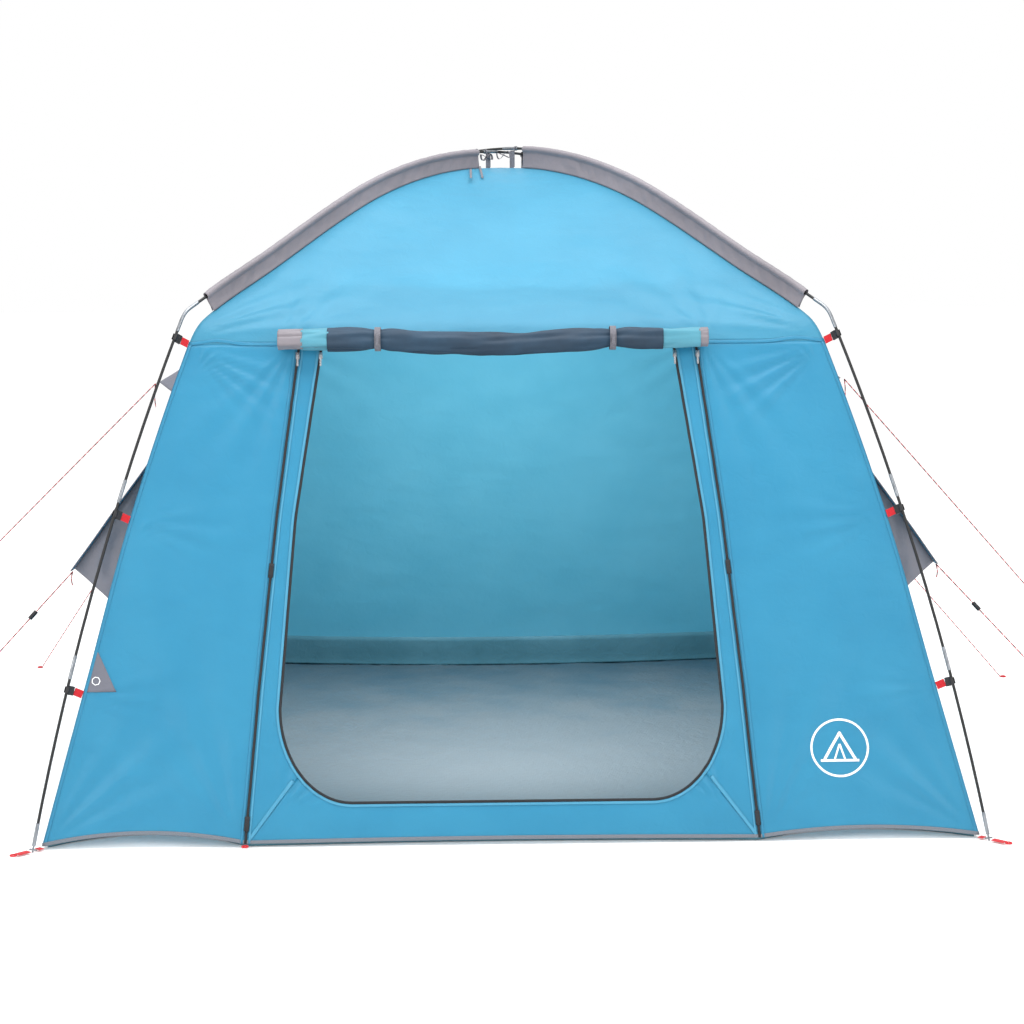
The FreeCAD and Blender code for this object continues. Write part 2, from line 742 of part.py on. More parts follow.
crossing_lift = ferrule_outer + size("running_gap")
made_a = pole("pole_a", 45, 0)
made_b = pole("pole_b", 135, crossing_lift)
group("pole_a_rods", made_a[0])
group("pole_b_rods", made_b[0])
group("pole_ferrules", made_a[1] + made_b[1])
group("pole_elbows", made_a[2] + made_b[2])
group("pole_tips", made_a[3] + made_b[3])
group("shock_cords", [made_a[4], made_b[4]])


def sleeve(lift):
    """A roof sleeve at +X: the tunnel round the pole, and the skirt under it down to the ridge."""
    edges, whole, corner = pole_marks(lift)
    start = whole / 2 + size("sleeve_crown_gap")
    end = whole - corner - size("sleeve_start")
    path = stretch(edges, start, end)
    tunnel = tube(path, sleeve_outer, size("sleeve_bore"))
    upper = crown_line(sleeve_outer / 2 + size("skirt_gap"), lift)
    lower = crown_line(size("sleeve_depth") - size("seam_gap") - size("cloth") / 2)
    crown_angle = size("sleeve_crown_gap") / size("crown_radius")
    last = path.OrderedVertexes[-1].Point

    def along_arc(line):
        """The roof arc of a line, from its straight stretch back to the crown."""
        centre, radius, touch, square = line
        touch_angle = math.atan2(square.x, square.z)
        angles = (touch_angle, (touch_angle + crown_angle) / 2, crown_angle)
        return [centre + Vector(math.sin(a), 0, math.cos(a)) * radius for a in angles]

    def under_end(line):
        """The point of a line's straight stretch that lies square under the tunnel's end."""
        centre, radius, touch, square = line
        straight = Vector(square.z, 0, -square.x)
        return touch + straight * (last - touch).dot(straight)

    upper_arc = along_arc(upper)
    lower_arc = along_arc(lower)
    outline = [
        upper_arc[::-1],
        [upper_arc[0], under_end(upper)],
        [under_end(upper), under_end(lower)],
        [under_end(lower), lower_arc[0]],
        lower_arc,
        [lower_arc[-1], upper_arc[-1]],
    ]
    skirt = Part.Face(Part.Wire([edge(run) for run in outline]))
    skirt.translate(Vector(0, -size("sleeve_cloth") / 2, 0))
    return tunnel, skirt.extrude(Vector(0, size("sleeve_cloth"), 0))


sleeves = []
for corner_angle in CORNERS:
    lift = 0 if corner_angle in (45, 225) else crossing_lift
    for name, shape in zip(("tunnel", "skirt"), sleeve(lift)):
        sleeves.append(feature("sleeve_%s_%d" % (name, corner_angle), turned(shape, corner_angle)))
group("pole_sleeves", sleeves)


# ---------------------------------------------------------------- clips, straps and feet
def diagonal_frame(origin, outwards, along):
    """Placement in the XZ plane: local Z along a line, local X away from it."""
    side = along.cross(outwards)
    return Placement(origin, Rotation(outwards, side, along, "ZXY"))


def clip(name):
    """A hook that snaps over the pole, with a flat arm for the upright strap along local X."""
    hook = cylinder(name + "_hook", Radius="@pole_diameter / 2 + @clip_wall", Height="@clip_length")
    arm = box(
        name + "_arm",
        Length="@clip_root + @clip_arm",
        Width="@clip_length / 3",
        Height="@webbing + 2 * @clip_margin",
    )
    arm_start = size("pole_diameter") / 2 + size("clip_wall") - size("clip_root")
    arm_drop = size("webbing") / 2 + size("clip_margin") - size("clip_length") / 2
    arm.Placement = Placement(Vector(arm_start, -size("clip_length") / 6, -arm_drop), Rotation())
    body = fuse(name + "_body", [hook, arm])
    bore = cylinder(name + "_bore", Radius="@pole_diameter / 2 + @running_gap", Height="@clip_length")
    mouth = box(
        name + "_mouth", Length="@pole_diameter + @clip_wall", Width="@clip_mouth", Height="@clip_length"
    )
    mouth.Placement = Placement(
        Vector(-size("pole_diameter") - size("clip_wall"), -size("clip_mouth") / 2, 0), Rotation()
    )
    return cut(name + "_clip", body, fuse(name + "_gaps", [bore, mouth]))


STRAP_LEVELS = ("low_clip_height", "mid_clip_height", "eave_height")
clips = []
straps = []
for corner_angle in CORNERS:
    about = Placement(Vector(0, 0, 0), Rotation(UP, corner_angle))
    for level in STRAP_LEVELS:
        name = "clip_%d_%s" % (corner_angle, level.split("_")[0])
        seam = Vector(wall_spread(size(level)) * DIAGONAL, 0, size(level))
        on_pole = leg_point(size(level) + size("clip_drop"))
        along = leg_tangent(on_pole)
        to_seam = seam - on_pole
        across = (to_seam - along * to_seam.dot(along)).normalize()
        base = on_pole - along * (size("clip_length") / 2)
        hook = clip(name)
        hook.Placement = about.multiply(diagonal_frame(base, across, along))
        clips.append(hook)
        arm_reach = size("pole_diameter") / 2 + size("clip_wall") + size("clip_arm")
        bar = on_pole + across * (arm_reach + size("strap_gap"))
        pull = seam - bar
        strap_length = "%.3f" % (pull.Length - size("strap_gap"))
        strap = box(name + "_strap", Length=strap_length, Width="@strap_thickness", Height="@webbing")
        line = pull.normalize()
        square = line.cross(Vector(0, 1, 0))
        start = bar - Vector(0, size("strap_thickness") / 2, 0) - square * (size("webbing") / 2)
        frame = Placement(start, Rotation(line, Vector(0, 1, 0), square, "XYZ"))
        strap.Placement = about.multiply(frame)
        straps.append(strap)
group("pole_clips", clips)
group("clip_straps", straps)

rings = []
corner_straps = []
for corner_angle in CORNERS:
    about = Placement(Vector(0, 0, 0), Rotation(UP, corner_angle))
    ring = bind(
        doc.addObject("Part::Torus", "foot_ring_%d" % corner_angle),
        Radius1="(@ring_diameter - @ring_wire) / 2",
        Radius2="@ring_wire / 2",
    )
    ring_centre = leg_point(size("pin_diameter") + size("ring_wire"))
    tilt = leg_tangent(ring_centre)
    across = Vector(tilt.z, 0, -tilt.x)
    ring.Placement = about.multiply(diagonal_frame(ring_centre, across, tilt))
    rings.append(ring)
    shell_corner = wall_levels[0][0] * DIAGONAL + size("ring_gap")
    ring_edge = ring_centre.x - size("ring_diameter") / 2
    strap = box(
        "corner_strap_%d" % corner_angle,
        Length="%.3f" % (ring_edge - shell_corner - size("ring_gap")),
        Width="@webbing",
        Height="@strap_thickness",
    )
    strap_place = Vector(shell_corner, -size("webbing") / 2, size("corner_strap_height"))
    strap.Placement = about.multiply(Placement(strap_place, Rotation()))
    corner_straps.append(strap)
    outer_edge = ring_centre.x + size("ring_diameter") / 2 + size("ring_gap")
    tail_length = shell_corner + size("corner_strap_length") - outer_edge
    tail = box(
        "corner_tail_%d" % corner_angle,
        Length="%.3f" % tail_length,
        Width="@webbing",
        Height="@strap_thickness",
    )
    tail_place = Vector(outer_edge, -size("webbing") / 2, size("corner_strap_height"))
    tail.Placement = about.multiply(Placement(tail_place, Rotation()))
    corner_straps.append(tail)
    loop = bind(
        doc.addObject("Part::Torus", "peg_loop_%d" % corner_angle),
        Radius1="(@loop_diameter - @loop_thickness) / 2",
        Radius2="@loop_thickness / 2",
    )
    loop_x = outer_edge + tail_length + size("loop_diameter") / 2 + size("loop_gap")
    loop.Placement = about.multiply(Placement(Vector(loop_x, 0, size("loop_height")), Rotation()))
    corner_straps.append(loop)
group("foot_rings", rings)

door_loop = bind(
    doc.addObject("Part::Torus", "door_peg_loop"),
    Radius1="(@loop_diameter - @loop_thickness) / 2",
    Radius2="@loop_thickness / 2",
)
door_loop_y = -wall_levels[0][0] - size("loop_diameter") / 2 - size("ring_gap")
door_loop.Placement = Placement(Vector(zip_x(-1, 0), door_loop_y, size("loop_height")), Rotation())
group("peg_loops", corner_straps + [door_loop])

# ---------------------------------------------------------------- rolled door
lean = math.atan2(
    wall_levels[2][0] - wall_levels[3][0], wall_levels[3][1] - wall_levels[2][1]
)
eave_line = wall_levels[3][0] + (size("eave_height") - size("roll_height")) * math.tan(lean)
roll_y = -(eave_line + (size("roll_radius") + size("roll_gap")) / math.cos(lean))


def roll_piece(name, start, length, radius):
    """A solid length of the roll, along X from a start."""
    piece = doc.addObject("Part::Cylinder", name)
    bind(piece, Radius=radius, Height="%.3f" % length)
    piece.Placement = Placement(
        Vector(start, roll_y, size("roll_height")), Rotation(Vector(0, 1, 0), 90)
    )
    return piece


mesh_start = size("roll_shift") - size("roll_half")
mesh_length = 2 * size("roll_half")
core_start = mesh_start - size("cuff_left")
core_length = mesh_length + size("cuff_left") + size("cuff_right")
core_end = core_start + core_length
core = roll_piece("core_rod", core_start, core_length, "@core_radius")
mesh_solid = roll_piece("mesh_rod", mesh_start, mesh_length, "@roll_radius")
cuff_left = roll_piece("cuff_rod_left", core_start, size("cuff_left"), "@roll_radius - 2")
cuff_right = roll_piece("cuff_rod_right", mesh_start + mesh_length, size("cuff_right"), "@roll_radius - 2")
keep(fuse("door_core", [core, cuff_left, cuff_right]), "door_panel_roll")
bore = roll_piece("mesh_bore", mesh_start, mesh_length, "@core_radius")
keep(cut("door_mesh", mesh_solid, bore), "door_mesh_roll")
group(
    "door_roll_hems",
    [
        roll_piece("roll_hem_left", core_start - size("hem_left"), size("hem_left"), "@roll_radius - 5"),
        roll_piece("roll_hem_right", core_end, size("hem_right"), "@roll_radius - 5"),
    ],
)
ties = []
for n, side in enumerate((-1, 1)):
    tie_x = size("roll_shift") + side * size("tie_spread") - size("tie_width") / 2
    band = roll_piece(
        "tie_band_%d" % n, tie_x, size("tie_width"), "@roll_radius + @running_gap + @tie_cloth"
    )
    hole = roll_piece("tie_hole_%d" % n, tie_x, size("tie_width"), "@roll_radius + @running_gap")
    ties.append(cut("door_tie_%d" % n, band, hole))
    toggle = cylinder("toggle_%d" % n, Radius="@toggle_diameter / 2", Height="@toggle_length")
    band_radius = size("roll_radius") + size("running_gap") + size("tie_cloth")
    toggle_y = roll_y - band_radius - size("toggle_gap") - size("toggle_diameter") / 2
    toggle_z = size("roll_height") - size("toggle_length") / 2
    toggle.Placement = Placement(Vector(tie_x + size("tie_width") / 2, toggle_y, toggle_z), Rotation())
    ties.append(toggle)
group("door_ties", ties)


# ---------------------------------------------------------------- zip sliders and pulls
def slider(name, place):
    """A zip slider with two ears; local -Y is outwards, Z up along the zip."""
    gap = size("running_gap")
    body = box(name + "_body", Length="@slider_width", Width="@slider_depth", Height="@slider_length")
    corner = Vector(-size("slider_width") / 2, -size("slider_depth") - gap, -size("slider_length") / 2)
    body.Placement = Placement(corner, Rotation())
    pieces = [body]
    ear_x = size("pull_width") / 2 + gap
    front = -size("slider_depth") - gap - size("ear_depth")
    for n, start in enumerate((-ear_x - size("ear_width"), ear_x)):
        ear = box(
            "%s_ear_%d" % (name, n),
            Length="@ear_width",
            Width="@ear_depth + @ear_root",
            Height="@axle_diameter + 2 * @ear_rim",
        )
        low = -size("axle_diameter") / 2 - size("ear_rim")
        ear.Placement = Placement(Vector(start, front, low), Rotation())
        pieces.append(ear)
    hole = cylinder(name + "_hole", Radius="@axle_diameter / 2 + @running_gap", Height="@slider_width")
    axle_y = front + size("ear_depth") / 2
    hole.Placement = Placement(
        Vector(-size("slider_width") / 2, axle_y, 0), Rotation(Vector(0, 1, 0), 90)
    )
    made = cut(name + "_cut", fuse(name + "_fused", pieces), hole)
    made.Placement = place
    keep(made, name)
    return axle_y


def pull(name, place, axle_y):
    """A zip pull on its axle, hanging down the wall from the ears."""
    plate = box(name + "_plate", Length="@pull_width", Width="@pull_thickness", Height="@pull_length")
    foot_z = size("axle_diameter") - size("pull_length")
    plate_corner = Vector(-size("pull_width") / 2, axle_y - size("pull_thickness") / 2, foot_z)
    plate.Placement = Placement(plate_corner, Rotation())
    axle = cylinder(name + "_axle", Radius="@axle_diameter / 2", Height="@pull_width + 2 * @ear_width")
    half = size("pull_width") / 2 + size("ear_width")
    axle.Placement = Placement(Vector(-half, axle_y, 0), Rotation(Vector(0, 1, 0), 90))
    made = fuse(name + "_fused", [plate, axle])
    made.Placement = place
    keep(made, name)


slider_height = size("eave_height") - size("slider_drop")
SLIDERS = [
    ("outer_left", zip_x(-1, slider_height)),
    ("outer_right", zip_x(1, slider_height)),
    ("door_left", door_x(-1, slider_height)),
    ("door_right", door_x(1, slider_height)),
]
slider_lines = {}
for name, x in SLIDERS:
    place = wall_frame(x, slider_height)
    axle_y = slider("slider_" + name, place)
    pull("pull_" + name, place, axle_y)
    axle_point = place.multVec(Vector(0, axle_y, 0))
    slider_lines[name] = (place.Base, axle_point)


# ---------------------------------------------------------------- awnings and vent hoods
awning_tilt = math.radians(size("awning_angle"))
awning_out = Vector(math.sin(awning_tilt), 0, -math.cos(awning_tilt))
hinge_x = wall_spread(size("awning_height")) + size("awning_clear")
hinge = Vector(hinge_x, 0, size("awning_height"))
lip = hinge + awning_out * size("awning_length")


def awning(side, sign):
    """A flat hood over the side window, on a rolled seam, held out by two guy ropes."""
    flap = box(side + "_flap", Length="@awning_cloth", Width="@awning_width", Height="@awning_length")
    start = size("awning_shift") - size("awning_width") / 2
    base = Vector(sign * lip.x, start, lip.z)
    if sign < 0:
        offset = Placement(Vector(-size("awning_cloth"), 0, 0), Rotation())
    else:
        offset = Placement()
    turn = Rotation(Vector(0, 1, 0), -sign * size("awning_angle"))
    flap.Placement = Placement(base, turn).multiply(offset)
    bead = cylinder(side + "_bead", Radius="@awning_bead / 2", Height="@awning_width")
    bead.Placement = Placement(Vector(sign * hinge.x, start, hinge.z), Rotation(Vector(1, 0, 0), -90))
    keep(fuse(side + "_hood_flap", [flap, bead]), side + "_awning")
    gap = size("gusset_gap")
    top_z = hinge.z - size("gusset_drop")
    wall_top = Vector(wall_spread(top_z) + gap, 0, top_z)
    wall_mid = Vector(wall_spread(size("mid_clip_height")) + gap, 0, size("mid_clip_height"))
    wall_foot = Vector(wall_spread(size("gusset_foot")) + gap, 0, size("gusset_foot"))
    inner_lip = lip - Vector(gap, 0, 0) - awning_out * size("gusset_lip")
    inner_top = hinge + awning_out * size("gusset_drop") - Vector(gap, 0, 0)
    outline = [wall_top, wall_mid, wall_foot, inner_lip, inner_top]
    gussets = []
    for n, end in enumerate((-1, 1)):
        y = end * (size("awning_width") / 2 - gap) + size("awning_shift")
        face = polygon([Vector(sign * p.x, y, p.z) for p in outline])
        solid = face.extrude(Vector(0, -end * size("cloth"), 0))
        gussets.append(feature("%s_gusset_%d" % (side, n), solid))
    group(side + "_awning_gussets", gussets)


hoods = []
for side, sign in (("left", -1), ("right", 1)):
    awning(side, sign)
    top_z = size("hood_top")
    foot_z = size("hood_foot")
    top_x = wall_spread(top_z) + size("seam_gap")
    foot_x = wall_spread(foot_z) + size("seam_gap")
    tip_x = wall_spread(size("hood_tip_height")) + size("hood_reach")
    upper = [Vector(sign * top_x, y * size("hood_half"), top_z) for y in (-1, 1)]
    lower = [Vector(sign * foot_x, y * size("hood_foot_half"), foot_z) for y in (-1, 1)]
    tip = Vector(sign * tip_x, 0, size("hood_tip_height"))
    faces = [
        polygon([upper[0], upper[1], tip]),
        polygon([upper[0], lower[0], tip]),
        polygon([upper[1], lower[1], tip]),
        polygon([lower[0], lower[1], tip]),
        polygon([upper[0], upper[1], lower[1], lower[0]]),
    ]
    closed = Part.makeSolid(Part.makeShell(faces))
    if closed.Volume < 0:
        closed.reverse()
    hollow = closed.copy()
    hollow.translate(Vector(-sign * size("hood_cloth"), 0, -size("hood_cloth")))
    hoods.append(feature(side + "_hood", closed.cut(hollow)))
group("vent_hoods", hoods)


# ---------------------------------------------------------------- guy ropes
def route_edges(points):
    """Straight runs joined by tangent arcs, each as large as its two runs allow."""
    edges = []
    at = points[0]
    for before, corner, after in zip(points, points[1:], points[2:]):
        back = before - corner
        ahead = after - corner
        turn = math.pi - back.getAngle(ahead)
        setback = 0.45 * min(back.Length, ahead.Length)
        radius = setback / math.tan(turn / 2)
        print("rope bend radius %.0f mm" % radius)
        start = corner + back.normalize() * setback
        end = corner + ahead.normalize() * setback
        inwards = (back + ahead).normalize()
        middle = corner + inwards * (radius / math.cos(turn / 2) - radius)
        edges.append(Part.LineSegment(at, start).toShape())
        edges.append(Part.Arc(start, middle, end).toShape())
        at = end
    edges.append(Part.LineSegment(at, points[-1]).toShape())
    return edges


loops = []
runner_lines = {}
for name, route in ROPES:
    points = [Vector(*p) for p in route]
    edges = route_edges(points)
    path = Part.Wire(edges)
    rope = rod_round(path, size("rope_diameter"))
    section = math.pi * size("rope_diameter") ** 2 / 4
    ratio = rope.Volume / section / path.Length
    print("%s: length %.0f mm, volume ratio %.4f" % (name, path.Length, ratio))
    keep(feature(name + "_rope", rope), "guy_rope_" + name)
    along = (points[-1] - points[-2]).normalize()
    flat = Vector(along.x, along.y, 0).normalize()
    loop = bind(
        doc.addObject("Part::Torus", name + "_loop"),
        Radius1="(@rope_loop - @rope_loop_thickness) / 2",
        Radius2="@rope_loop_thickness / 2",
    )
    centre = points[-1] + flat * (size("rope_loop") / 2 + size("ring_gap"))
    loop_place = Vector(centre.x, centre.y, size("rope_loop_thickness") / 2)
    loop.Placement = Placement(loop_place, Rotation())
    loops.append(loop)
    share = VENT_RUNNER_FROM_TOP if name.endswith("vent") else RUNNER_FROM_TOP
    if share < 0.5:
        top, bottom = points[0], points[1]
        place = top + (bottom - top) * (share * 2)
    else:
        top, bottom = points[1], points[2]
        place = top + (bottom - top) * (share * 2 - 1)
    down = (bottom - top).normalize()
    runner = box(name + "_block", Length="@runner_depth", Width="@runner_width", Height="@runner_length")
    low = -size("runner_length") / 2
    corner = Vector(-size("runner_depth") / 2, -size("runner_width") / 2, low)
    runner.Placement = Placement(corner, Rotation())
    hole_radius = "@rope_diameter / 2 + 2 * @running_gap"
    hole = cylinder(name + "_bore", Radius=hole_radius, Height="@runner_length")
    hole.Placement = Placement(Vector(0, 0, low), Rotation())
    made = cut(name + "_runner", runner, hole)
    made.Placement = Placement(place, Rotation(UP, down))
    keep(made, "runner_" + name)
    runner_lines[name] = (place, down)
group("guy_rope_loops", loops)

# ---------------------------------------------------------------- crown, patch and badge
roof_top = outer_roof[-1][1]
crown_low = size("crown_height") - pole_radius
crown_straps = []
for n, angle in enumerate(CORNERS):
    about = Placement(Vector(0, 0, 0), Rotation(UP, angle))
    lift = 0 if angle in (45, 225) else crossing_lift
    spread = size("crown_strap_spread") * DIAGONAL
    sag = size("crown_radius") - math.sqrt(size("crown_radius") ** 2 - spread**2)
    height = crown_low + lift - roof_top - 2 * size("seam_gap") - size("ferrule_wall")
    strap = box("crown_strap_%d" % n, Length="@crown_strap_width", Width="@strap_thickness")
    bind(strap, Height="%.3f" % height)
    strap_x = spread - size("crown_strap_width") / 2
    corner = Vector(strap_x, -size("strap_thickness") / 2, roof_top - sag + size("seam_gap"))
    strap.Placement = about.multiply(Placement(corner, Rotation()))
    crown_straps.append(strap)
group("crown_straps", crown_straps)

ribbons = []
ribbon_spread = size("crown_strap_spread") * DIAGONAL
ribbon_spread += size("crown_strap_width") / 2 + size("ribbon_gap")
ribbon_dip = size("crown_radius") - math.sqrt(size("crown_radius") ** 2 - ribbon_spread**2)
for n, (angle, lift) in enumerate(((225, 0), (315, crossing_lift))):
    about = Placement(Vector(0, 0, 0), Rotation(UP, angle))
    band = cylinder(
        "ribbon_band_%d" % n,
        Radius="@pole_diameter / 2 + @ferrule_wall + @ribbon_gap + @ribbon_cloth",
        Height="@ribbon_width",
    )
    hole = cylinder(
        "ribbon_hole_%d" % n,
        Radius="@pole_diameter / 2 + @ferrule_wall + @ribbon_gap",
        Height="@ribbon_width",
    )
    ribbon = cut("ribbon_%d" % n, band, hole)
    on_pole = Vector(ribbon_spread, 0, size("crown_height") + lift - ribbon_dip)
    ribbon.Placement = about.multiply(Placement(on_pole, Rotation(Vector(0, 1, 0), 90)))
    ribbons.append(ribbon)
low_u, low_z = outer_roof[-3]
high_u, high_z = outer_roof[-2]
slope = math.atan2(high_z - low_z, low_u - high_u)
tail = box("ribbon_tail", Length="@ribbon_width", Width="@ribbon_tail", Height="@ribbon_cloth")
tail_corner = Vector(-size("tail_spread"), -low_u, low_z + size("seam_gap"))
tail.Placement = Placement(tail_corner, Rotation(Vector(1, 0, 0), math.degrees(slope)))
ribbons.append(tail)
group("crown_ties", ribbons)

patch_low = size("low_clip_height") + size("patch_rise")
patch_high = patch_low + size("patch_height")
patch_left = size("patch_rise") - wall_spread(patch_low)
patch_outline = [
    (patch_left, patch_low),
    (patch_left + size("patch_width"), patch_low),
    (size("patch_rise") - wall_spread(patch_high), patch_high),
]
patch_shift = size("patch_thickness") + size("running_gap")
patch_blank = side_panel(
    [(u + patch_shift, z) for u, z in wall_levels],
    [(u + size("running_gap"), z) for u, z in wall_levels],
)
patch_region = front_prism(patch_outline)
patch_shell = feature("patch_blank", patch_blank)
keep(common("patch_cut", patch_shell, feature("patch_region", patch_region)), "cable_port_patch")
badge = cylinder("badge_disc", Radius="@badge_diameter / 2", Height="@badge_thickness")
badge_place = wall_frame(size("badge_spread"), size("badge_height"))
badge.Placement = badge_place.multiply(
    Placement(Vector(0, -size("running_gap"), 0), Rotation(Vector(1, 0, 0), 90))
)
keep(badge, "badge")

# ---------------------------------------------------------------- checks and files
doc.recompute()
faults = []
for item in doc.Objects:
    if "Invalid" in item.State or "Error" in item.State:
        faults.append("%s is in state %s" % (item.Name, item.State))
for item in parts:
    shape = item.Shape
    if shape.isNull() or not shape.isValid() or not shape.Solids:
        faults.append("%s has no valid solid" % item.Label)
if faults:
    raise RuntimeError("; ".join(faults))
os.makedirs("parts", exist_ok=True)
for item in parts:
    item.Shape.exportStep("parts/%s.step" % item.Label)
print("%d sub-parts" % len(parts))
for name, (base, axle_point) in slider_lines.items():
    print("slider %s %.2f %.2f %.2f" % (name, *base), "axle %.2f %.2f %.2f" % tuple(axle_point))
for name, (place, down) in runner_lines.items():
    print("runner %s %.2f %.2f %.2f" % (name, *place), "along %.5f %.5f %.5f" % tuple(down))
print("wall levels", wall_levels, "hinge", hinge, "lip", lip)
print("roof", outer_roof)
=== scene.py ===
import json
import math
from bisect import bisect_left

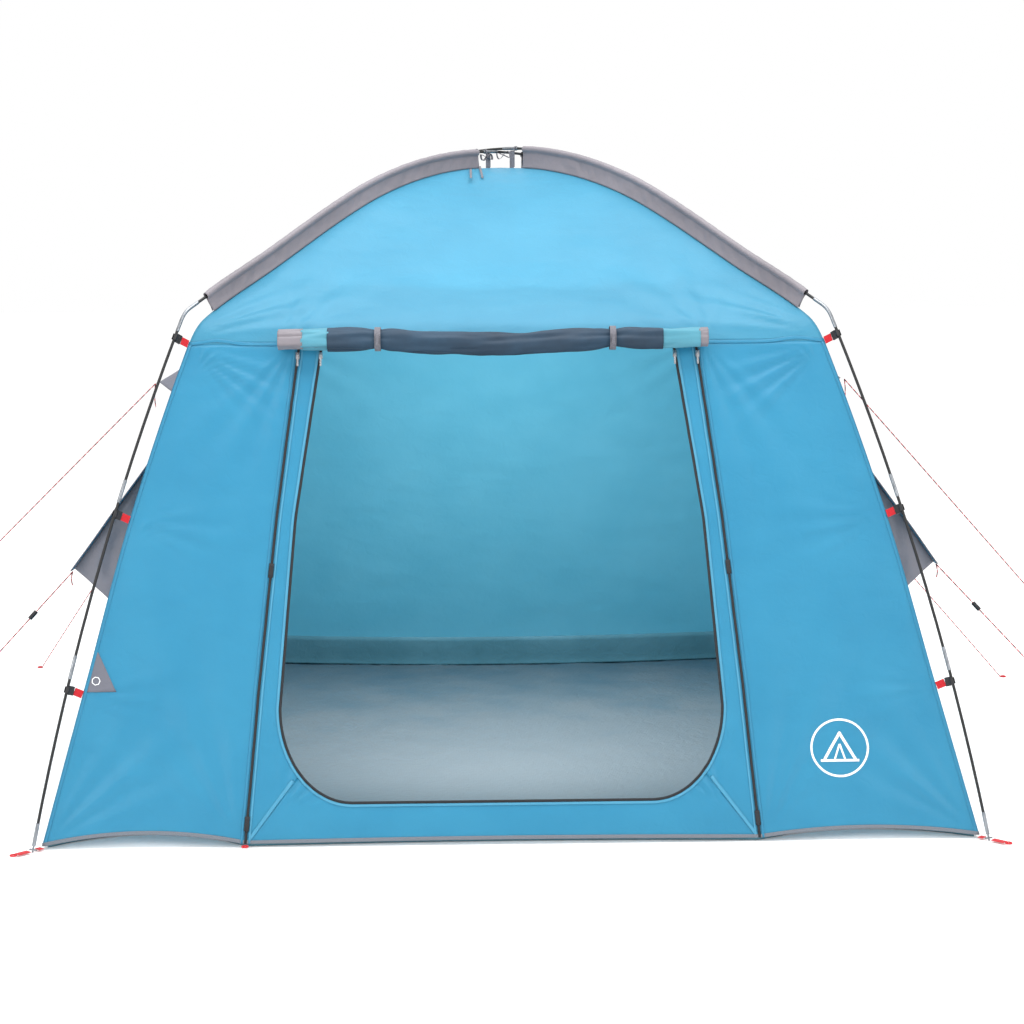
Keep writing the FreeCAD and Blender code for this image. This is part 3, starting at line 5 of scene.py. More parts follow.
import bmesh
import bpy
from mathutils import Matrix, Vector, noise
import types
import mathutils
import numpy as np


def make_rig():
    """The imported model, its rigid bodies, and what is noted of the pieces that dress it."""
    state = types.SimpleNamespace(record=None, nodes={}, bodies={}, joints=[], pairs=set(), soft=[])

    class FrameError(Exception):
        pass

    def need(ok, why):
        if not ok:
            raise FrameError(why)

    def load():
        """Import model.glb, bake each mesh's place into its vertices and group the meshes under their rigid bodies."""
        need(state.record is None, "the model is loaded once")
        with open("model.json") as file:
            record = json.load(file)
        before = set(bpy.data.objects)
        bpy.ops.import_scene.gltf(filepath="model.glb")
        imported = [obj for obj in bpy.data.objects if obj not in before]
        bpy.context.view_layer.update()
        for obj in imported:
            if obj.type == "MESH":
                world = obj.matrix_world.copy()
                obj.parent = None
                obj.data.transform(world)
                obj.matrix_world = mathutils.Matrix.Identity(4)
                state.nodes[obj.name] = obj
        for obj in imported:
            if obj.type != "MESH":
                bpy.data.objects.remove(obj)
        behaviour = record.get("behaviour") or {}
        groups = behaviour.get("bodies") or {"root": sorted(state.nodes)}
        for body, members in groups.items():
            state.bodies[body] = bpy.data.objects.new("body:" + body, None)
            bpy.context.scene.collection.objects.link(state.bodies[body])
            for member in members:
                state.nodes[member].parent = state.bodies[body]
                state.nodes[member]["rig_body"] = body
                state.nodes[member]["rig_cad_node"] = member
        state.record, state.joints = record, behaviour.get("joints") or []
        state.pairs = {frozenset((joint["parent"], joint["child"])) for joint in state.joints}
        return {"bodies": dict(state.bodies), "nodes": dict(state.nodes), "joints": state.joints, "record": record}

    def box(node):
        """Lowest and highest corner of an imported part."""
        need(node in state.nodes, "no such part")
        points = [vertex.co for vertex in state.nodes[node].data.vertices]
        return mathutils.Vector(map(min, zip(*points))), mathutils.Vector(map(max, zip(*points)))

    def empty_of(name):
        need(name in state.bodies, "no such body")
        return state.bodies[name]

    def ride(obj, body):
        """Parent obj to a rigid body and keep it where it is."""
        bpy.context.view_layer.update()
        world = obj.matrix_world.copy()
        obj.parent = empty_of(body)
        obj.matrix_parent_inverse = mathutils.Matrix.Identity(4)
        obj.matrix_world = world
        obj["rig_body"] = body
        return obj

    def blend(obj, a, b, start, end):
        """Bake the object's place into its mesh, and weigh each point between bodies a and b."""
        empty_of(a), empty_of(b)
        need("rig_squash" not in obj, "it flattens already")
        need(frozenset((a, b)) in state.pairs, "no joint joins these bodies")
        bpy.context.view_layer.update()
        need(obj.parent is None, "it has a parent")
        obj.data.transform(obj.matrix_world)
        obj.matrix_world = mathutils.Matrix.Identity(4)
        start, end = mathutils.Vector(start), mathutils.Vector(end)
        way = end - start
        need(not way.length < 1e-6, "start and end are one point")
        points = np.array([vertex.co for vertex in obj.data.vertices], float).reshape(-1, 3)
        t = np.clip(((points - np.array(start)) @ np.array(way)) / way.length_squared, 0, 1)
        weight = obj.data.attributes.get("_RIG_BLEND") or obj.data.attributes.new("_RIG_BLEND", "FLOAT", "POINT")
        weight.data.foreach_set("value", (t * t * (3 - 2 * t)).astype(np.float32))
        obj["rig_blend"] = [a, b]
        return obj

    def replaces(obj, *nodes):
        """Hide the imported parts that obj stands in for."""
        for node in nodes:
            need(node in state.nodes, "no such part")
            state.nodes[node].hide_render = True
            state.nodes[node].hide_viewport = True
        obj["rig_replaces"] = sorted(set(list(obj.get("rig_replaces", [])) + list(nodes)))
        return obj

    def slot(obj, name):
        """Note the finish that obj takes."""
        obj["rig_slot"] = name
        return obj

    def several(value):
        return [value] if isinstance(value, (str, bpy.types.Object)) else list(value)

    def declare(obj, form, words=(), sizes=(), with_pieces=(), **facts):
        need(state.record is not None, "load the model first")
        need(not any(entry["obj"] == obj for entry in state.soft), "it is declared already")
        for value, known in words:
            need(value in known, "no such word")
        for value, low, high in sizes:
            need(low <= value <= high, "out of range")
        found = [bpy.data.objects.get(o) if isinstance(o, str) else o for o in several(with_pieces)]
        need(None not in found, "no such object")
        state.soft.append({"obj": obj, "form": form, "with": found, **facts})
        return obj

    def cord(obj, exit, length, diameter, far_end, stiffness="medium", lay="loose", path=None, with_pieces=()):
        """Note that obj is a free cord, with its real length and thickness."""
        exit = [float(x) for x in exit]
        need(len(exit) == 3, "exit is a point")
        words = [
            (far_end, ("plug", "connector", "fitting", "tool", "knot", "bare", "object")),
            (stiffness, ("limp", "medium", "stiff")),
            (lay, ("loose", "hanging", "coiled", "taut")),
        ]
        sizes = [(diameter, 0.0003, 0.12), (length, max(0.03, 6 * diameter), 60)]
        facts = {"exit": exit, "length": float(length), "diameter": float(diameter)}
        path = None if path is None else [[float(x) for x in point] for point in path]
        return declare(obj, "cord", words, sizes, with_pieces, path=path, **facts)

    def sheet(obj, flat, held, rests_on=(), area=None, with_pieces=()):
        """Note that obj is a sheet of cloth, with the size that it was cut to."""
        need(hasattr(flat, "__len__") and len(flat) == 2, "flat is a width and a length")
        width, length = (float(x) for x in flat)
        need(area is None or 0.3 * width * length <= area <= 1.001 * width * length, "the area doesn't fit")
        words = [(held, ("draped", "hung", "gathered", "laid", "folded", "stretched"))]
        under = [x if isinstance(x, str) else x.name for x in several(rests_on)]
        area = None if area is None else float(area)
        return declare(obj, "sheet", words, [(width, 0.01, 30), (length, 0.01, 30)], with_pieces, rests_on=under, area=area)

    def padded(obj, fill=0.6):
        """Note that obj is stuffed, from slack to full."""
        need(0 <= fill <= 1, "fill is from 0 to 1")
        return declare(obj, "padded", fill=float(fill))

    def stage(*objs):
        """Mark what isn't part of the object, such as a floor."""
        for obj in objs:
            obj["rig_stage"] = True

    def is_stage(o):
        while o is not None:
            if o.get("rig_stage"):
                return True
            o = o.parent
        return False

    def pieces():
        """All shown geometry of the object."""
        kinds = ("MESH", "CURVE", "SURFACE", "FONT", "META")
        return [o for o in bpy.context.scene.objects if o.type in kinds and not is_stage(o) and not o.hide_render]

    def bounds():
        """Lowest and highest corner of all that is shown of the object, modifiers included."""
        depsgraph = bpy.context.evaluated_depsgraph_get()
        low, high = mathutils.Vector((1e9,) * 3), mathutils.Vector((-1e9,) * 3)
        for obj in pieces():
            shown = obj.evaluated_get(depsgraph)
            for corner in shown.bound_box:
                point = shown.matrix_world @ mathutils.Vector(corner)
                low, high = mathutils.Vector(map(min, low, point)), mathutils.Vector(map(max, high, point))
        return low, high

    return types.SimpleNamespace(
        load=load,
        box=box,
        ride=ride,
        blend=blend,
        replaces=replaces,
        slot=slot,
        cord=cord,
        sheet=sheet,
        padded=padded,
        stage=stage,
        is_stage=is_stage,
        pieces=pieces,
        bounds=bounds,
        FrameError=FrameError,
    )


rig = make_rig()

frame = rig.load()
cad_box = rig.bounds()
nodes = frame["nodes"]

# ---------------------------------------------------------------- finishes
MILLIMETRE = 0.001
BAND_PERIOD = 0.314  # a Wave texture's band at scale 1, in metres


def linear(code):
    """An sRGB hex colour as linear light."""
    channels = [int(code[i:i + 2], 16) / 255 for i in (1, 3, 5)]
    return [c / 12.92 if c <= 0.04045 else ((c + 0.055) / 1.055) ** 2.4 for c in channels] + [1]


def add(material, kind, values=None, **settings):
    """Adds a shader node. values go to its inputs by name or number, and an output is linked."""
    node = material.node_tree.nodes.new("ShaderNode" + kind)
    for name, value in settings.items():
        setattr(node, name, value)
    for name, value in (values or {}).items():
        if isinstance(value, bpy.types.NodeSocket):
            material.node_tree.links.new(value, node.inputs[name])
        else:
            node.inputs[name].default_value = value
    return node


def put(name, data):
    """A new object in the scene."""
    item = bpy.data.objects.new(name, data)
    bpy.context.scene.collection.objects.link(item)
    return item


def new_material(name):
    material = bpy.data.materials.new(name)
    material.use_nodes = True
    material.node_tree.nodes.clear()
    return material


def finish_material(material, shader):
    add(material, "OutputMaterial", {"Surface": shader})
    return material


def relief(material, height, strength, millimetres, normal=None):
    """The surface's direction where a height stands out of it."""
    values = {"Height": height, "Strength": strength, "Distance": millimetres * MILLIMETRE}
    if normal:
        values["Normal"] = normal
    return add(material, "Bump", values).outputs["Normal"]


def shades(material, factor, first, second, low=0.3, high=0.7):
    """Two hex colours mixed by a pattern."""
    ramp = add(material, "ValToRGB", {"Fac": factor})
    ramp.color_ramp.elements[0].position = low
    ramp.color_ramp.elements[1].position = high
    ramp.color_ramp.elements[0].color = linear(first)
    ramp.color_ramp.elements[1].color = linear(second)
    return ramp.outputs["Color"]


def weave(material, flat, spacing):
    """Height of a plain weave, from its warp and its weft."""
    waves = []
    for direction in "XY":
        waves.append(add(material, "TexWave", {"Vector": flat, "Scale": BAND_PERIOD / spacing,
                                               "Distortion": 0.4, "Detail": 1.0},
                         bands_direction=direction))
    return add(material, "Math", {0: waves[0].outputs["Fac"], 1: waves[1].outputs["Fac"]},
               operation="ADD").outputs[0]


def cloth_material(name, dark, light, roughness, glow, spacing, crinkle, sheen=0.25, glow_tint=None,
                   painted_light_span=None):
    """Woven cloth: thread bump, soft creases, uneven dye, and light that comes through it.

    Given a length, the first colour turns into the second over that length of the cloth: a painted gradient of light
    and shade.
    """
    material = new_material(name)
    flat = add(material, "TexCoord").outputs["UV"]
    dye = add(material, "TexNoise", {"Vector": flat, "Scale": 3.5, "Detail": 4.0, "Roughness": 0.6})
    creases = add(material, "TexNoise", {"Vector": flat, "Scale": 26.0, "Detail": 5.0,
                                         "Roughness": 0.55, "Distortion": 0.7})
    if painted_light_span:
        # Painted light and shade: the colour ramps from the first to the second along the cloth's length.
        up = add(material, "SeparateXYZ", {"Vector": flat}).outputs["Y"]
        painted_ramp = add(material, "Math", {0: up, 1: 1 / painted_light_span, 2: -0.5}, operation="MULTIPLY_ADD")
        spread = add(material, "Math", {0: painted_ramp.outputs[0], 1: dye.outputs["Fac"]}, operation="ADD")
        colour = shades(material, spread.outputs[0], dark, light, 0.1, 0.9)
    else:
        colour = shades(material, dye.outputs["Fac"], dark, light)
    thread = relief(material, weave(material, flat, spacing * MILLIMETRE), 0.35, 0.25)
    surface = relief(material, creases.outputs["Fac"], 0.5, crinkle, thread)
    principled = add(material, "BsdfPrincipled", {
        "Base Color": colour, "Roughness": roughness, "Sheen Weight": sheen,
        "Sheen Roughness": 0.4, "Normal": surface})
    if not glow:
        return finish_material(material, principled.outputs[0])
    through = add(material, "BsdfTranslucent", {
        "Color": linear(glow_tint) if glow_tint else colour, "Normal": surface})
    both = add(material, "MixShader", {0: glow, 1: principled.outputs[0], 2: through.outputs[0]})
    return finish_material(material, both.outputs[0])


def webbing_material(name, dark, light, coordinate="Object"):
    """Woven webbing: coarse ribs of thread that catch the light along their tops."""
    material = new_material(name)
    flat = add(material, "TexCoord").outputs[coordinate]
    ribs = weave(material, flat, 2.2 * MILLIMETRE)
    fuzz = add(material, "TexNoise", {"Vector": flat, "Scale": 400.0, "Detail": 2.0})
    height = add(material, "Math", {0: ribs, 1: fuzz.outputs["Fac"]}, operation="ADD")
    principled = add(material, "BsdfPrincipled", {
        "Base Color": shades(material, fuzz.outputs["Fac"], dark, light),
        "Roughness": 0.8, "Sheen Weight": 0.08,
        "Normal": relief(material, height.outputs[0], 0.7, 0.4)})
    return finish_material(material, principled.outputs[0])


def hard_material(name, dark, light, roughness, metallic=0.0, grain=220.0, depth=0.05, stretch=1.0):
    """A moulded, drawn or plated surface: fine grain in its colour, roughness and height."""
    material = new_material(name)
    place = add(material, "Mapping", {"Vector": add(material, "TexCoord").outputs["Object"],
                                      "Scale": (1.0, 1.0, stretch)})
    specks = add(material, "TexNoise", {"Vector": place.outputs[0], "Scale": grain, "Detail": 4.0})
    rough = add(material, "MapRange", {"Value": specks.outputs["Fac"], "To Min": roughness - 0.08,
                                       "To Max": roughness + 0.1})
    principled = add(material, "BsdfPrincipled", {
        "Base Color": shades(material, specks.outputs["Fac"], dark, light),
        "Metallic": metallic, "Roughness": rough.outputs[0],
        "Normal": relief(material, specks.outputs["Fac"], 0.4, depth)})
    return finish_material(material, principled.outputs[0])


def mesh_material(name, dark, light, spacing, clear):
    """Insect mesh: round threads with holes between them, which the eye blends into a haze."""
    material = new_material(name)
    flat = add(material, "TexCoord").outputs["UV"]
    threads = weave(material, flat, spacing * MILLIMETRE)
    haze = add(material, "TexNoise", {"Vector": flat, "Scale": 9.0, "Detail": 3.0})
    alpha = add(material, "MapRange", {"Value": threads, "From Min": 0.3, "From Max": 1.2,
                                       "To Min": clear, "To Max": 1.0})
    principled = add(material, "BsdfPrincipled", {
        "Base Color": shades(material, haze.outputs["Fac"], dark, light), "Roughness": 0.55,
        "Sheen Weight": 0.15, "Alpha": alpha.outputs[0],
        "Normal": relief(material, threads, 0.6, 0.3)})
    return finish_material(material, principled.outputs[0])


def rope_material(name):
    """Braided polyester guy rope: red strands with a dark and a white tracer that spiral round it."""
    material = new_material(name)
    flat = add(material, "TexCoord").outputs["UV"]
    spiral = add(material, "Mapping", {"Vector": flat, "Rotation": (0, 0, 0.6)})
    tracer = add(material, "TexWave", {"Vector": spiral.outputs[0],
                                       "Scale": BAND_PERIOD / (26 * MILLIMETRE),
                                       "Distortion": 1.2, "Detail": 1.0, "Detail Scale": 2.0})
    plait = weave(material, flat, 2.5 * MILLIMETRE)
    ramp = add(material, "ValToRGB", {"Fac": tracer.outputs["Fac"]})
    ramp.color_ramp.interpolation = "CONSTANT"
    ramp.color_ramp.elements[0].color = linear("#4a0d14")
    ramp.color_ramp.elements[1].position = 0.2
    ramp.color_ramp.elements[1].color = linear("#b8121e")
    white = ramp.color_ramp.elements.new(0.94)
    white.color = linear("#d9c9c6")
    principled = add(material, "BsdfPrincipled", {
        "Base Color": ramp.outputs["Color"], "Roughness": 0.65,
        "Normal": relief(material, plait, 0.7, 0.4)})
    return finish_material(material, principled.outputs[0])


# Coated polyester taffeta: a satin face with a paper-like crinkle, and daylight comes through it.
taffeta = cloth_material("blue_polyester_taffeta", "#3290b6", "#3a99be", 0.42, 0.42,
                         3, 3.0, glow_tint="#5ab9d2")
# The same taffeta with painted light on the roof: paler, where the sky shines on it.
roof_taffeta_painted_light = cloth_material("blue_roof_taffeta", "#4296b6", "#4a9fbf", 0.42, 0.42,
                              3, 3.0, glow_tint="#6abcd0")
# The inner face of the taffeta, with painted light: the same cloth made paler and greyer than the outer face, for the
# daylight that comes through the walls and lights the tent's inside.
inner_face_painted_light = cloth_material("taffeta_inner_face_painted_light", "#5ba6bb", "#66afc3", 0.5, 0.42,
                             3, 3.0, glow_tint="#86c2d2")
# The same taffeta in grey, on the sleeves, the awnings' edges and the door's hem ends:
# thinner and more creased.
grey_taffeta = cloth_material("grey_polyester_taffeta", "#787379", "#88838a", 0.5, 0.15, 3, 4.0)
# Darker grey taffeta of the vent hoods and the port patch.
hood_taffeta = cloth_material("dark_grey_taffeta", "#5f626e", "#72727c", 0.5, 0.12, 3, 4.0)
# Grey taffeta of the side awnings' gussets, with painted shade: darker towards the top, where it is in their shade.
shade_taffeta = cloth_material("awning_gusset_taffeta", "#7c7b83", "#3b4955", 0.55, 0.12,
                               3, 4.0, sheen=0.1, painted_light_span=0.61)
# Woven and coated polyethylene floor: a silvery sheen with the coarse square weave of its tapes,
# and painted light: bluer and darker towards the back, where the walls' light falls on it.
floor_sheeting = cloth_material("woven_polyethylene_sheet_painted_light", "#767b7e", "#3f6070", 0.36, 0.0,
                                6, 6.0, sheen=0.0, painted_light_span=1.9)
# The tub's upright sides: the same sheet with a dark teal print.
tub_side = cloth_material("teal_polyethylene_sheet", "#42717f", "#507f8e", 0.42, 0.0,
                          6, 6.0, sheen=0.0)
# Binding tape: a folded grey grosgrain ribbon, with fine ribs across it.
binding_tape = webbing_material("grey_grosgrain_binding", "#5b6169", "#747a83", "UV")
# Felled seams in the same taffeta, shinier where the layers are thicker.
seam_cloth = cloth_material("stitched_taffeta_seam", "#2f8bb1", "#3794b9", 0.4, 0.35, 2.5, 1.0)
# Light blue piping and zip guard beside the doorway.
guard_cloth = cloth_material("zip_guard_taffeta", "#4ba0c2", "#57abcb", 0.45, 0.35, 2.5, 1.0)
# Polyester insect mesh, rolled up in many layers, so nearly opaque with a blue cast.
rolled_mesh = cloth_material("rolled_insect_mesh", "#0a2032", "#1a3b52", 0.7, 0.0, 2, 5.0, sheen=0.05)
# A single layer of the same mesh, which lets part of the light through.
insect_mesh = mesh_material("single_insect_mesh", "#16303f", "#2a4a5c", 3, 0.55)
# Bright red polyester webbing.
red_webbing = webbing_material("red_polyester_webbing", "#ac0613", "#cc1221")
# Grey ribbon and webbing at the crown and on the door ties.
grey_webbing = webbing_material("grey_polyester_webbing", "#55555c", "#74737b")
# Nylon zip tape and coil: matt black with a little grey dust.
zip_nylon = webbing_material("black_nylon_zip", "#0d0f12", "#24272c", "UV")
# Fibreglass rod in black resin: smooth, with a dull waxy sheen along its length.
fibreglass = hard_material("black_fibreglass_rod", "#040405", "#0c0d0f", 0.5, stretch=0.05)
# Galvanised steel tube: weathered to a dull grey, with faint drawing lines.
steel = hard_material("galvanised_steel", "#74787d", "#9a9ea3", 0.34, 1.0, 160.0, 0.03, 0.2)
# Injection-moulded acetal clips and runners: black, slightly grained.
acetal = hard_material("black_acetal", "#0b0b0d", "#1d1d21", 0.42, grain=500.0, depth=0.08)
# Die-cast zinc, nickel plated: small bright sliders and pulls.
zinc = hard_material("nickel_plated_zinc", "#9c9ea2", "#c9cbce", 0.24, 1.0, 300.0, 0.02)
# Rubber shock cord in a pale woven cover.
elastic = webbing_material("elastic_cord_cover", "#c9c9c2", "#dcdcd6")
# Screen-printed white ink: matt, slightly broken by the weave under it.
white_ink = cloth_material("white_screen_print", "#e9ecee", "#f7f8f9", 0.6, 0.1, 3, 0.5)
rope_braid = rope_material("braided_guy_rope")

CAD_FINISHES = [
    (fibreglass, ("pole_a_rods", "pole_b_rods")),
    (steel, ("pole_ferrules", "pole_elbows", "pole_tips", "foot_rings")),
    (acetal, ("pole_clips", "runner_")),
    (elastic, ("shock_cords",)),
    (zinc, ("slider_", "pull_")),
]
for finish, starts in CAD_FINISHES:
    for name, node in nodes.items():
        if name.startswith(starts):
            node.data.materials.clear()
            node.data.materials.append(finish)

# ---------------------------------------------------------------- the shell's surface
SIDES = {"front": 0, "right": 90, "back": 180, "left": 270}


def outer_levels(name):
    """Spread and height of a side of the shell at each level where its solid has a corner."""
    spread = {}
    for vertex in nodes[name].data.vertices:
        height = round(vertex.co.z, 3)
        spread[height] = max(spread.get(height, 0), vertex.co.y)
    found = []
    for height in sorted(spread):
        if found and height - found[-1][1] < 0.004:
            found.pop()
        found.append((spread[height], height))
    return found


wall_levels = outer_levels("back_wall")
levels = [Vector(level) for level in wall_levels + outer_levels("roof_back")[1:]]


def smooth_line(points, steps):
    """A smooth line through points at uneven distances."""
    gaps = [(b - a).length for a, b in zip(points, points[1:])]
    tangents = [(points[1] - points[0]).normalized()]
    tangents += [(after - before).normalized() for before, after in zip(points, points[2:])]
    tangents.append((points[-1] - points[-2]).normalized())
    line = []
    for n, gap in enumerate(gaps):
        for step in range(steps):
            t = step / steps
            line.append(points[n] * (1 + 2 * t) * (1 - t) ** 2 + points[n + 1] * t * t * (3 - 2 * t)
                        + tangents[n] * gap * t * (1 - t) ** 2
                        - tangents[n + 1] * gap * t * t * (1 - t))
    return line + [points[-1]]


rail = smooth_line(levels, 12)
rail_lengths = [0.0]
for low, high in zip(rail, rail[1:]):
    rail_lengths.append(rail_lengths[-1] + (high - low).length)
TOP = rail_lengths[-1]


def rail_at(length):
    """Point of the shell's side profile, and its outward normal, at a length up from the hem."""
    length = min(max(length, 0.0), TOP)
    n = min(max(bisect_left(rail_lengths, length), 1), len(rail) - 1)
    share = (length - rail_lengths[n - 1]) / (rail_lengths[n] - rail_lengths[n - 1])
    run = (rail[n] - rail[n - 1]).normalized()
    return rail[n - 1].lerp(rail[n], share), Vector((run.y, -run.x))


def up_to(height):
    """Length up the side profile at a height."""
    n = 1
    while n < len(rail) - 1 and rail[n].y < height:
        n += 1
    share = (height - rail[n - 1].y) / (rail[n].y - rail[n - 1].y)
    return rail_lengths[n - 1] + share * (rail_lengths[n] - rail_lengths[n - 1])


LOW, MID, EAVE = (up_to(level[1]) for level in wall_levels[1:])


def smooth(share):
    share = min(max(share, 0.0), 1.0)
    return share * share * (3 - 2 * share)


# Fans of creases that run out of a point where the cloth is held:
# (along the side, length up it, middle direction in degrees, half spread, folds, reach, depth)
def fans_at_corners(spreads):
    fans = []
    for hand in (-1, 1):
        def towards(degrees):
            return degrees if hand < 0 else 180 - degrees
        fans += [
            (hand * spreads[0], 0.0, towards(40), 36, 4.0, 0.20, 0.0045),
            (hand * spreads[1], LOW, towards(-6), 40, 4.0, 0.09, 0.0030),
            (hand * spreads[2], MID, towards(-12), 44, 5.0, 0.11, 0.0038),
            (hand * spreads[3], EAVE - 0.01, towards(-30), 42, 6.0, 0.13, 0.0050),
            (hand * spreads[3], EAVE + 0.03, towards(20), 28, 4.0, 0.16, 0.0050),
        ]
    return fans


corner_spreads = [level[0] for level in wall_levels]
FANS = {side: fans_at_corners(corner_spreads) for side in SIDES}
DOOR_SHIFT = -0.032
ZIP_BASE, ZIP_LOW, ZIP_MID, ZIP_EAVE = 0.814, 0.776, 0.721, 0.650
FANS["front"] += [
    (DOOR_SHIFT - 0.70, 0.10, 52, 60, 6.0, 0.10, 0.0040),
    (DOOR_SHIFT + 0.70, 0.10, 128, 60, 6.0, 0.10, 0.0040),
    (DOOR_SHIFT - 0.84, 0.0, 112, 38, 4.0, 0.24, 0.0035),
    (DOOR_SHIFT + 0.83, 0.0, 68, 38, 4.0, 0.24, 0.0035),
    (DOOR_SHIFT - 0.67, EAVE, 240, 38, 4.0, 0.16, 0.0035),
    (DOOR_SHIFT + 0.67, EAVE, -60, 38, 4.0, 0.16, 0.0035),
    (DOOR_SHIFT - 0.70, EAVE, 75, 65, 5.0, 0.22, 0.0035),
    (DOOR_SHIFT + 0.70, EAVE, 105, 65, 5.0, 0.22, 0.0035),
]
for side, hand in (("left", 1), ("right", -1)):
    FANS[side] += [
        (0.0, up_to(1.42), -90, 70, 5.0, 0.16, 0.004),
        (-0.69, up_to(0.63), -135, 45, 4.0, 0.16, 0.004),
        (0.69, up_to(0.63), -45, 45, 4.0, 0.16, 0.004),
    ]


def creases(side, along, length):
    """How far the cloth stands out of its smooth surface."""
    height = 0.0
    for x, y, middle, half, folds, reach, depth in FANS[side]:
        dx, dy = along - x, length - y
        distance = math.hypot(dx, dy)
        if distance > 5 * reach or distance < 1e-6:
            continue
        turn = (math.degrees(math.atan2(dy, dx)) - middle + 180) % 360 - 180
        if abs(turn) < half:
            share = turn / half
            near = distance / reach
            height += (depth * math.cos(share * folds * math.pi) * math.cos(share * math.pi / 2) ** 2
                       * near * math.exp(1 - near))
    seed = SIDES[side] * 0.1
    height += 0.0040 * noise.noise(Vector((along * 1.9, length * 1.6, seed)))
    height += 0.0020 * noise.noise(Vector((along * 4.0, length * 13.0, seed + 3)))
    crinkle = noise.noise(Vector((along * 13.0, length * 30.0, seed + 7)))
    height += 0.0011 * crinkle * (1 + noise.noise(Vector((along * 2.0, length * 2.0, seed + 5))))
    return height * (0.25 + 0.75 * smooth(length / 0.12))


def on_side(side, along, length, lift=0.0):
    """A point of the tensioned cloth, at a place along a side and a length up it."""
    point, normal = rail_at(length)
    spread = max(point.x, 1e-4)
    free = smooth((spread - abs(along)) / 0.07)
    middle = max(0.0, 1 - (along / spread) ** 2)
    if length < EAVE:
        hang = 0.010 + 0.012 * math.sin(math.pi * length / EAVE)
        hang *= smooth(length / 0.3)
    else:
        rise = (length - EAVE) / (TOP - EAVE)
        hang = 0.010 * (1 - rise) + 0.030 * math.sin(math.pi * rise)
    out = lift - hang * middle
    out += creases(side, along, length) * free * (1 - smooth((length - TOP + 0.15) / 0.15))
    place = Vector((along, -point.x - normal.x * out, point.y + normal.y * out))
    return Matrix.Rotation(math.radians(SIDES[side]), 3, "Z") @ place


# ---------------------------------------------------------------- making pieces
def piece(name, made, material, slot, body="tent", thickness=0.0, offset=-1.0, inside=None):
    """A finished piece from a bmesh, with a live wall thickness where it is cloth."""
    data = bpy.data.meshes.new(name)
    made.to_mesh(data)
    made.free()
    for polygon in data.polygons:
        polygon.use_smooth = True
    item = put(name, data)
    data.materials.append(material)
    if thickness:
        wall = item.modifiers.new("cloth thickness", "SOLIDIFY")
        wall.thickness = thickness
        wall.offset = offset
        if inside:
            data.materials.append(inside)
            wall.material_offset = 1
    if body:
        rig.ride(item, body)
    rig.slot(item, slot)
    return item


def lay(made, place):
    """Puts each vertex where place() says, and keeps its flat coordinates as its UVs."""
    layer = made.loops.layers.uv.new("UVMap")
    laid = {vertex: place(vertex.co) for vertex in made.verts}
    for face in made.faces:
        for loop in face.loops:
            loop[layer].uv = laid[loop.vert][0]
    for vertex, (_, point) in laid.items():
        vertex.co = point
    return made


def flat_grid(across, along, place):
    """Cloth laid out flat, with its flat size as its UVs, then put where place() says.

    place(share across, share along) gives the flat coordinates and the point in space.
    """
    made = bmesh.new()
    bmesh.ops.create_grid(made, x_segments=across, y_segments=along, size=0.5)
    bmesh.ops.translate(made, vec=(0.5, 0.5, 0), verts=made.verts)
    return lay(made, lambda flat: place(min(max(flat.x, 0), 1), min(max(flat.y, 0), 1)))


def sheet_for(node, item, rests_on, held="stretched", turn=0):
    """Stands a sheet in for a solid, with the flat size and area of its own cut.

    turn, in degrees, lays the flat cut along itself.
    """
    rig.replaces(item, node)
    slope = Matrix.Rotation(math.radians(turn), 2)
    flat = [slope @ spot.uv for spot in item.data.uv_layers[0].data]
    xs = [spot.x for spot in flat]
    ys = [spot.y for spot in flat]
    area = 0.0
    for polygon in item.data.polygons:
        corners = [flat[n] for n in polygon.loop_indices]
        area += abs(sum(a.cross(b) for a, b in zip(corners, corners[1:] + corners[:1]))) / 2
    width, length = max(xs) - min(xs), max(ys) - min(ys)
    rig.sheet(item, flat=(width, length), held=held, rests_on=rests_on,
             area=min(area, width * length))


CLOTH = 0.0012


def hem_arch(side, along):
    """How far the hem rises between two pegs."""
    if side == "front":
        stops = [-corner_spreads[0], DOOR_SHIFT - ZIP_BASE, DOOR_SHIFT + ZIP_BASE, corner_spreads[0]]
        rises = [0.034, 0.006, 0.026]
    else:
        stops = [-corner_spreads[0], corner_spreads[0]]
        rises = [0.045]
    for low, high, rise in zip(stops, stops[1:], rises):
        if low <= along <= high:
            share = (along - low) / (high - low)
            return rise * 4 * share * (1 - share)
    return 0.0


def line_at(height, *knots):
    """Value of a bent line at a height, from its (value, height) knots."""
    for (low_v, low_h), (high_v, high_h) in zip(knots, knots[1:]):
        if height <= high_h:
            break
    return low_v + (high_v - low_v) * (height - low_h) / (high_h - low_h)


def zip_half(length):
    """Half distance between the outer zips at a length up the front."""
    return line_at(length, (ZIP_BASE, 0), (ZIP_LOW, LOW), (ZIP_MID, MID), (ZIP_EAVE, EAVE))


def shell_panel(side, across, along, low, high, left, right):
    """Cloth between two lengths up a side and two lines along it."""
    def place(p, q):
        length = low + (high - low) * q
        spread = rail_at(length)[0].x
        start, end = left(length, spread), right(length, spread)
        x = start + (end - start) * p
        if low == 0:
            length += hem_arch(side, x) * (1 - q) ** 3
        return (x, length), on_side(side, x, length)
    return flat_grid(across, along, place)


def left_edge(length, spread):
    return -spread


def right_edge(length, spread):
    return spread


def left_zip(length, spread):
    return DOOR_SHIFT - zip_half(length)


def right_zip(length, spread):
    return DOOR_SHIFT + zip_half(length)


# Roof: four tapered gores that meet under the crossing of the poles.
for side in SIDES:
    made = shell_panel(side, 150, 96, EAVE, TOP, left_edge, right_edge)
    bmesh.ops.remove_doubles(made, verts=made.verts, dist=0.0004)
    roof = piece("roof_%s_cloth" % side, made, roof_taffeta_painted_light, "blue_cloth", thickness=CLOTH,
                 inside=inner_face_painted_light)
    sheet_for("roof_" + side, roof, ["pole_a_rods", "pole_b_rods"])

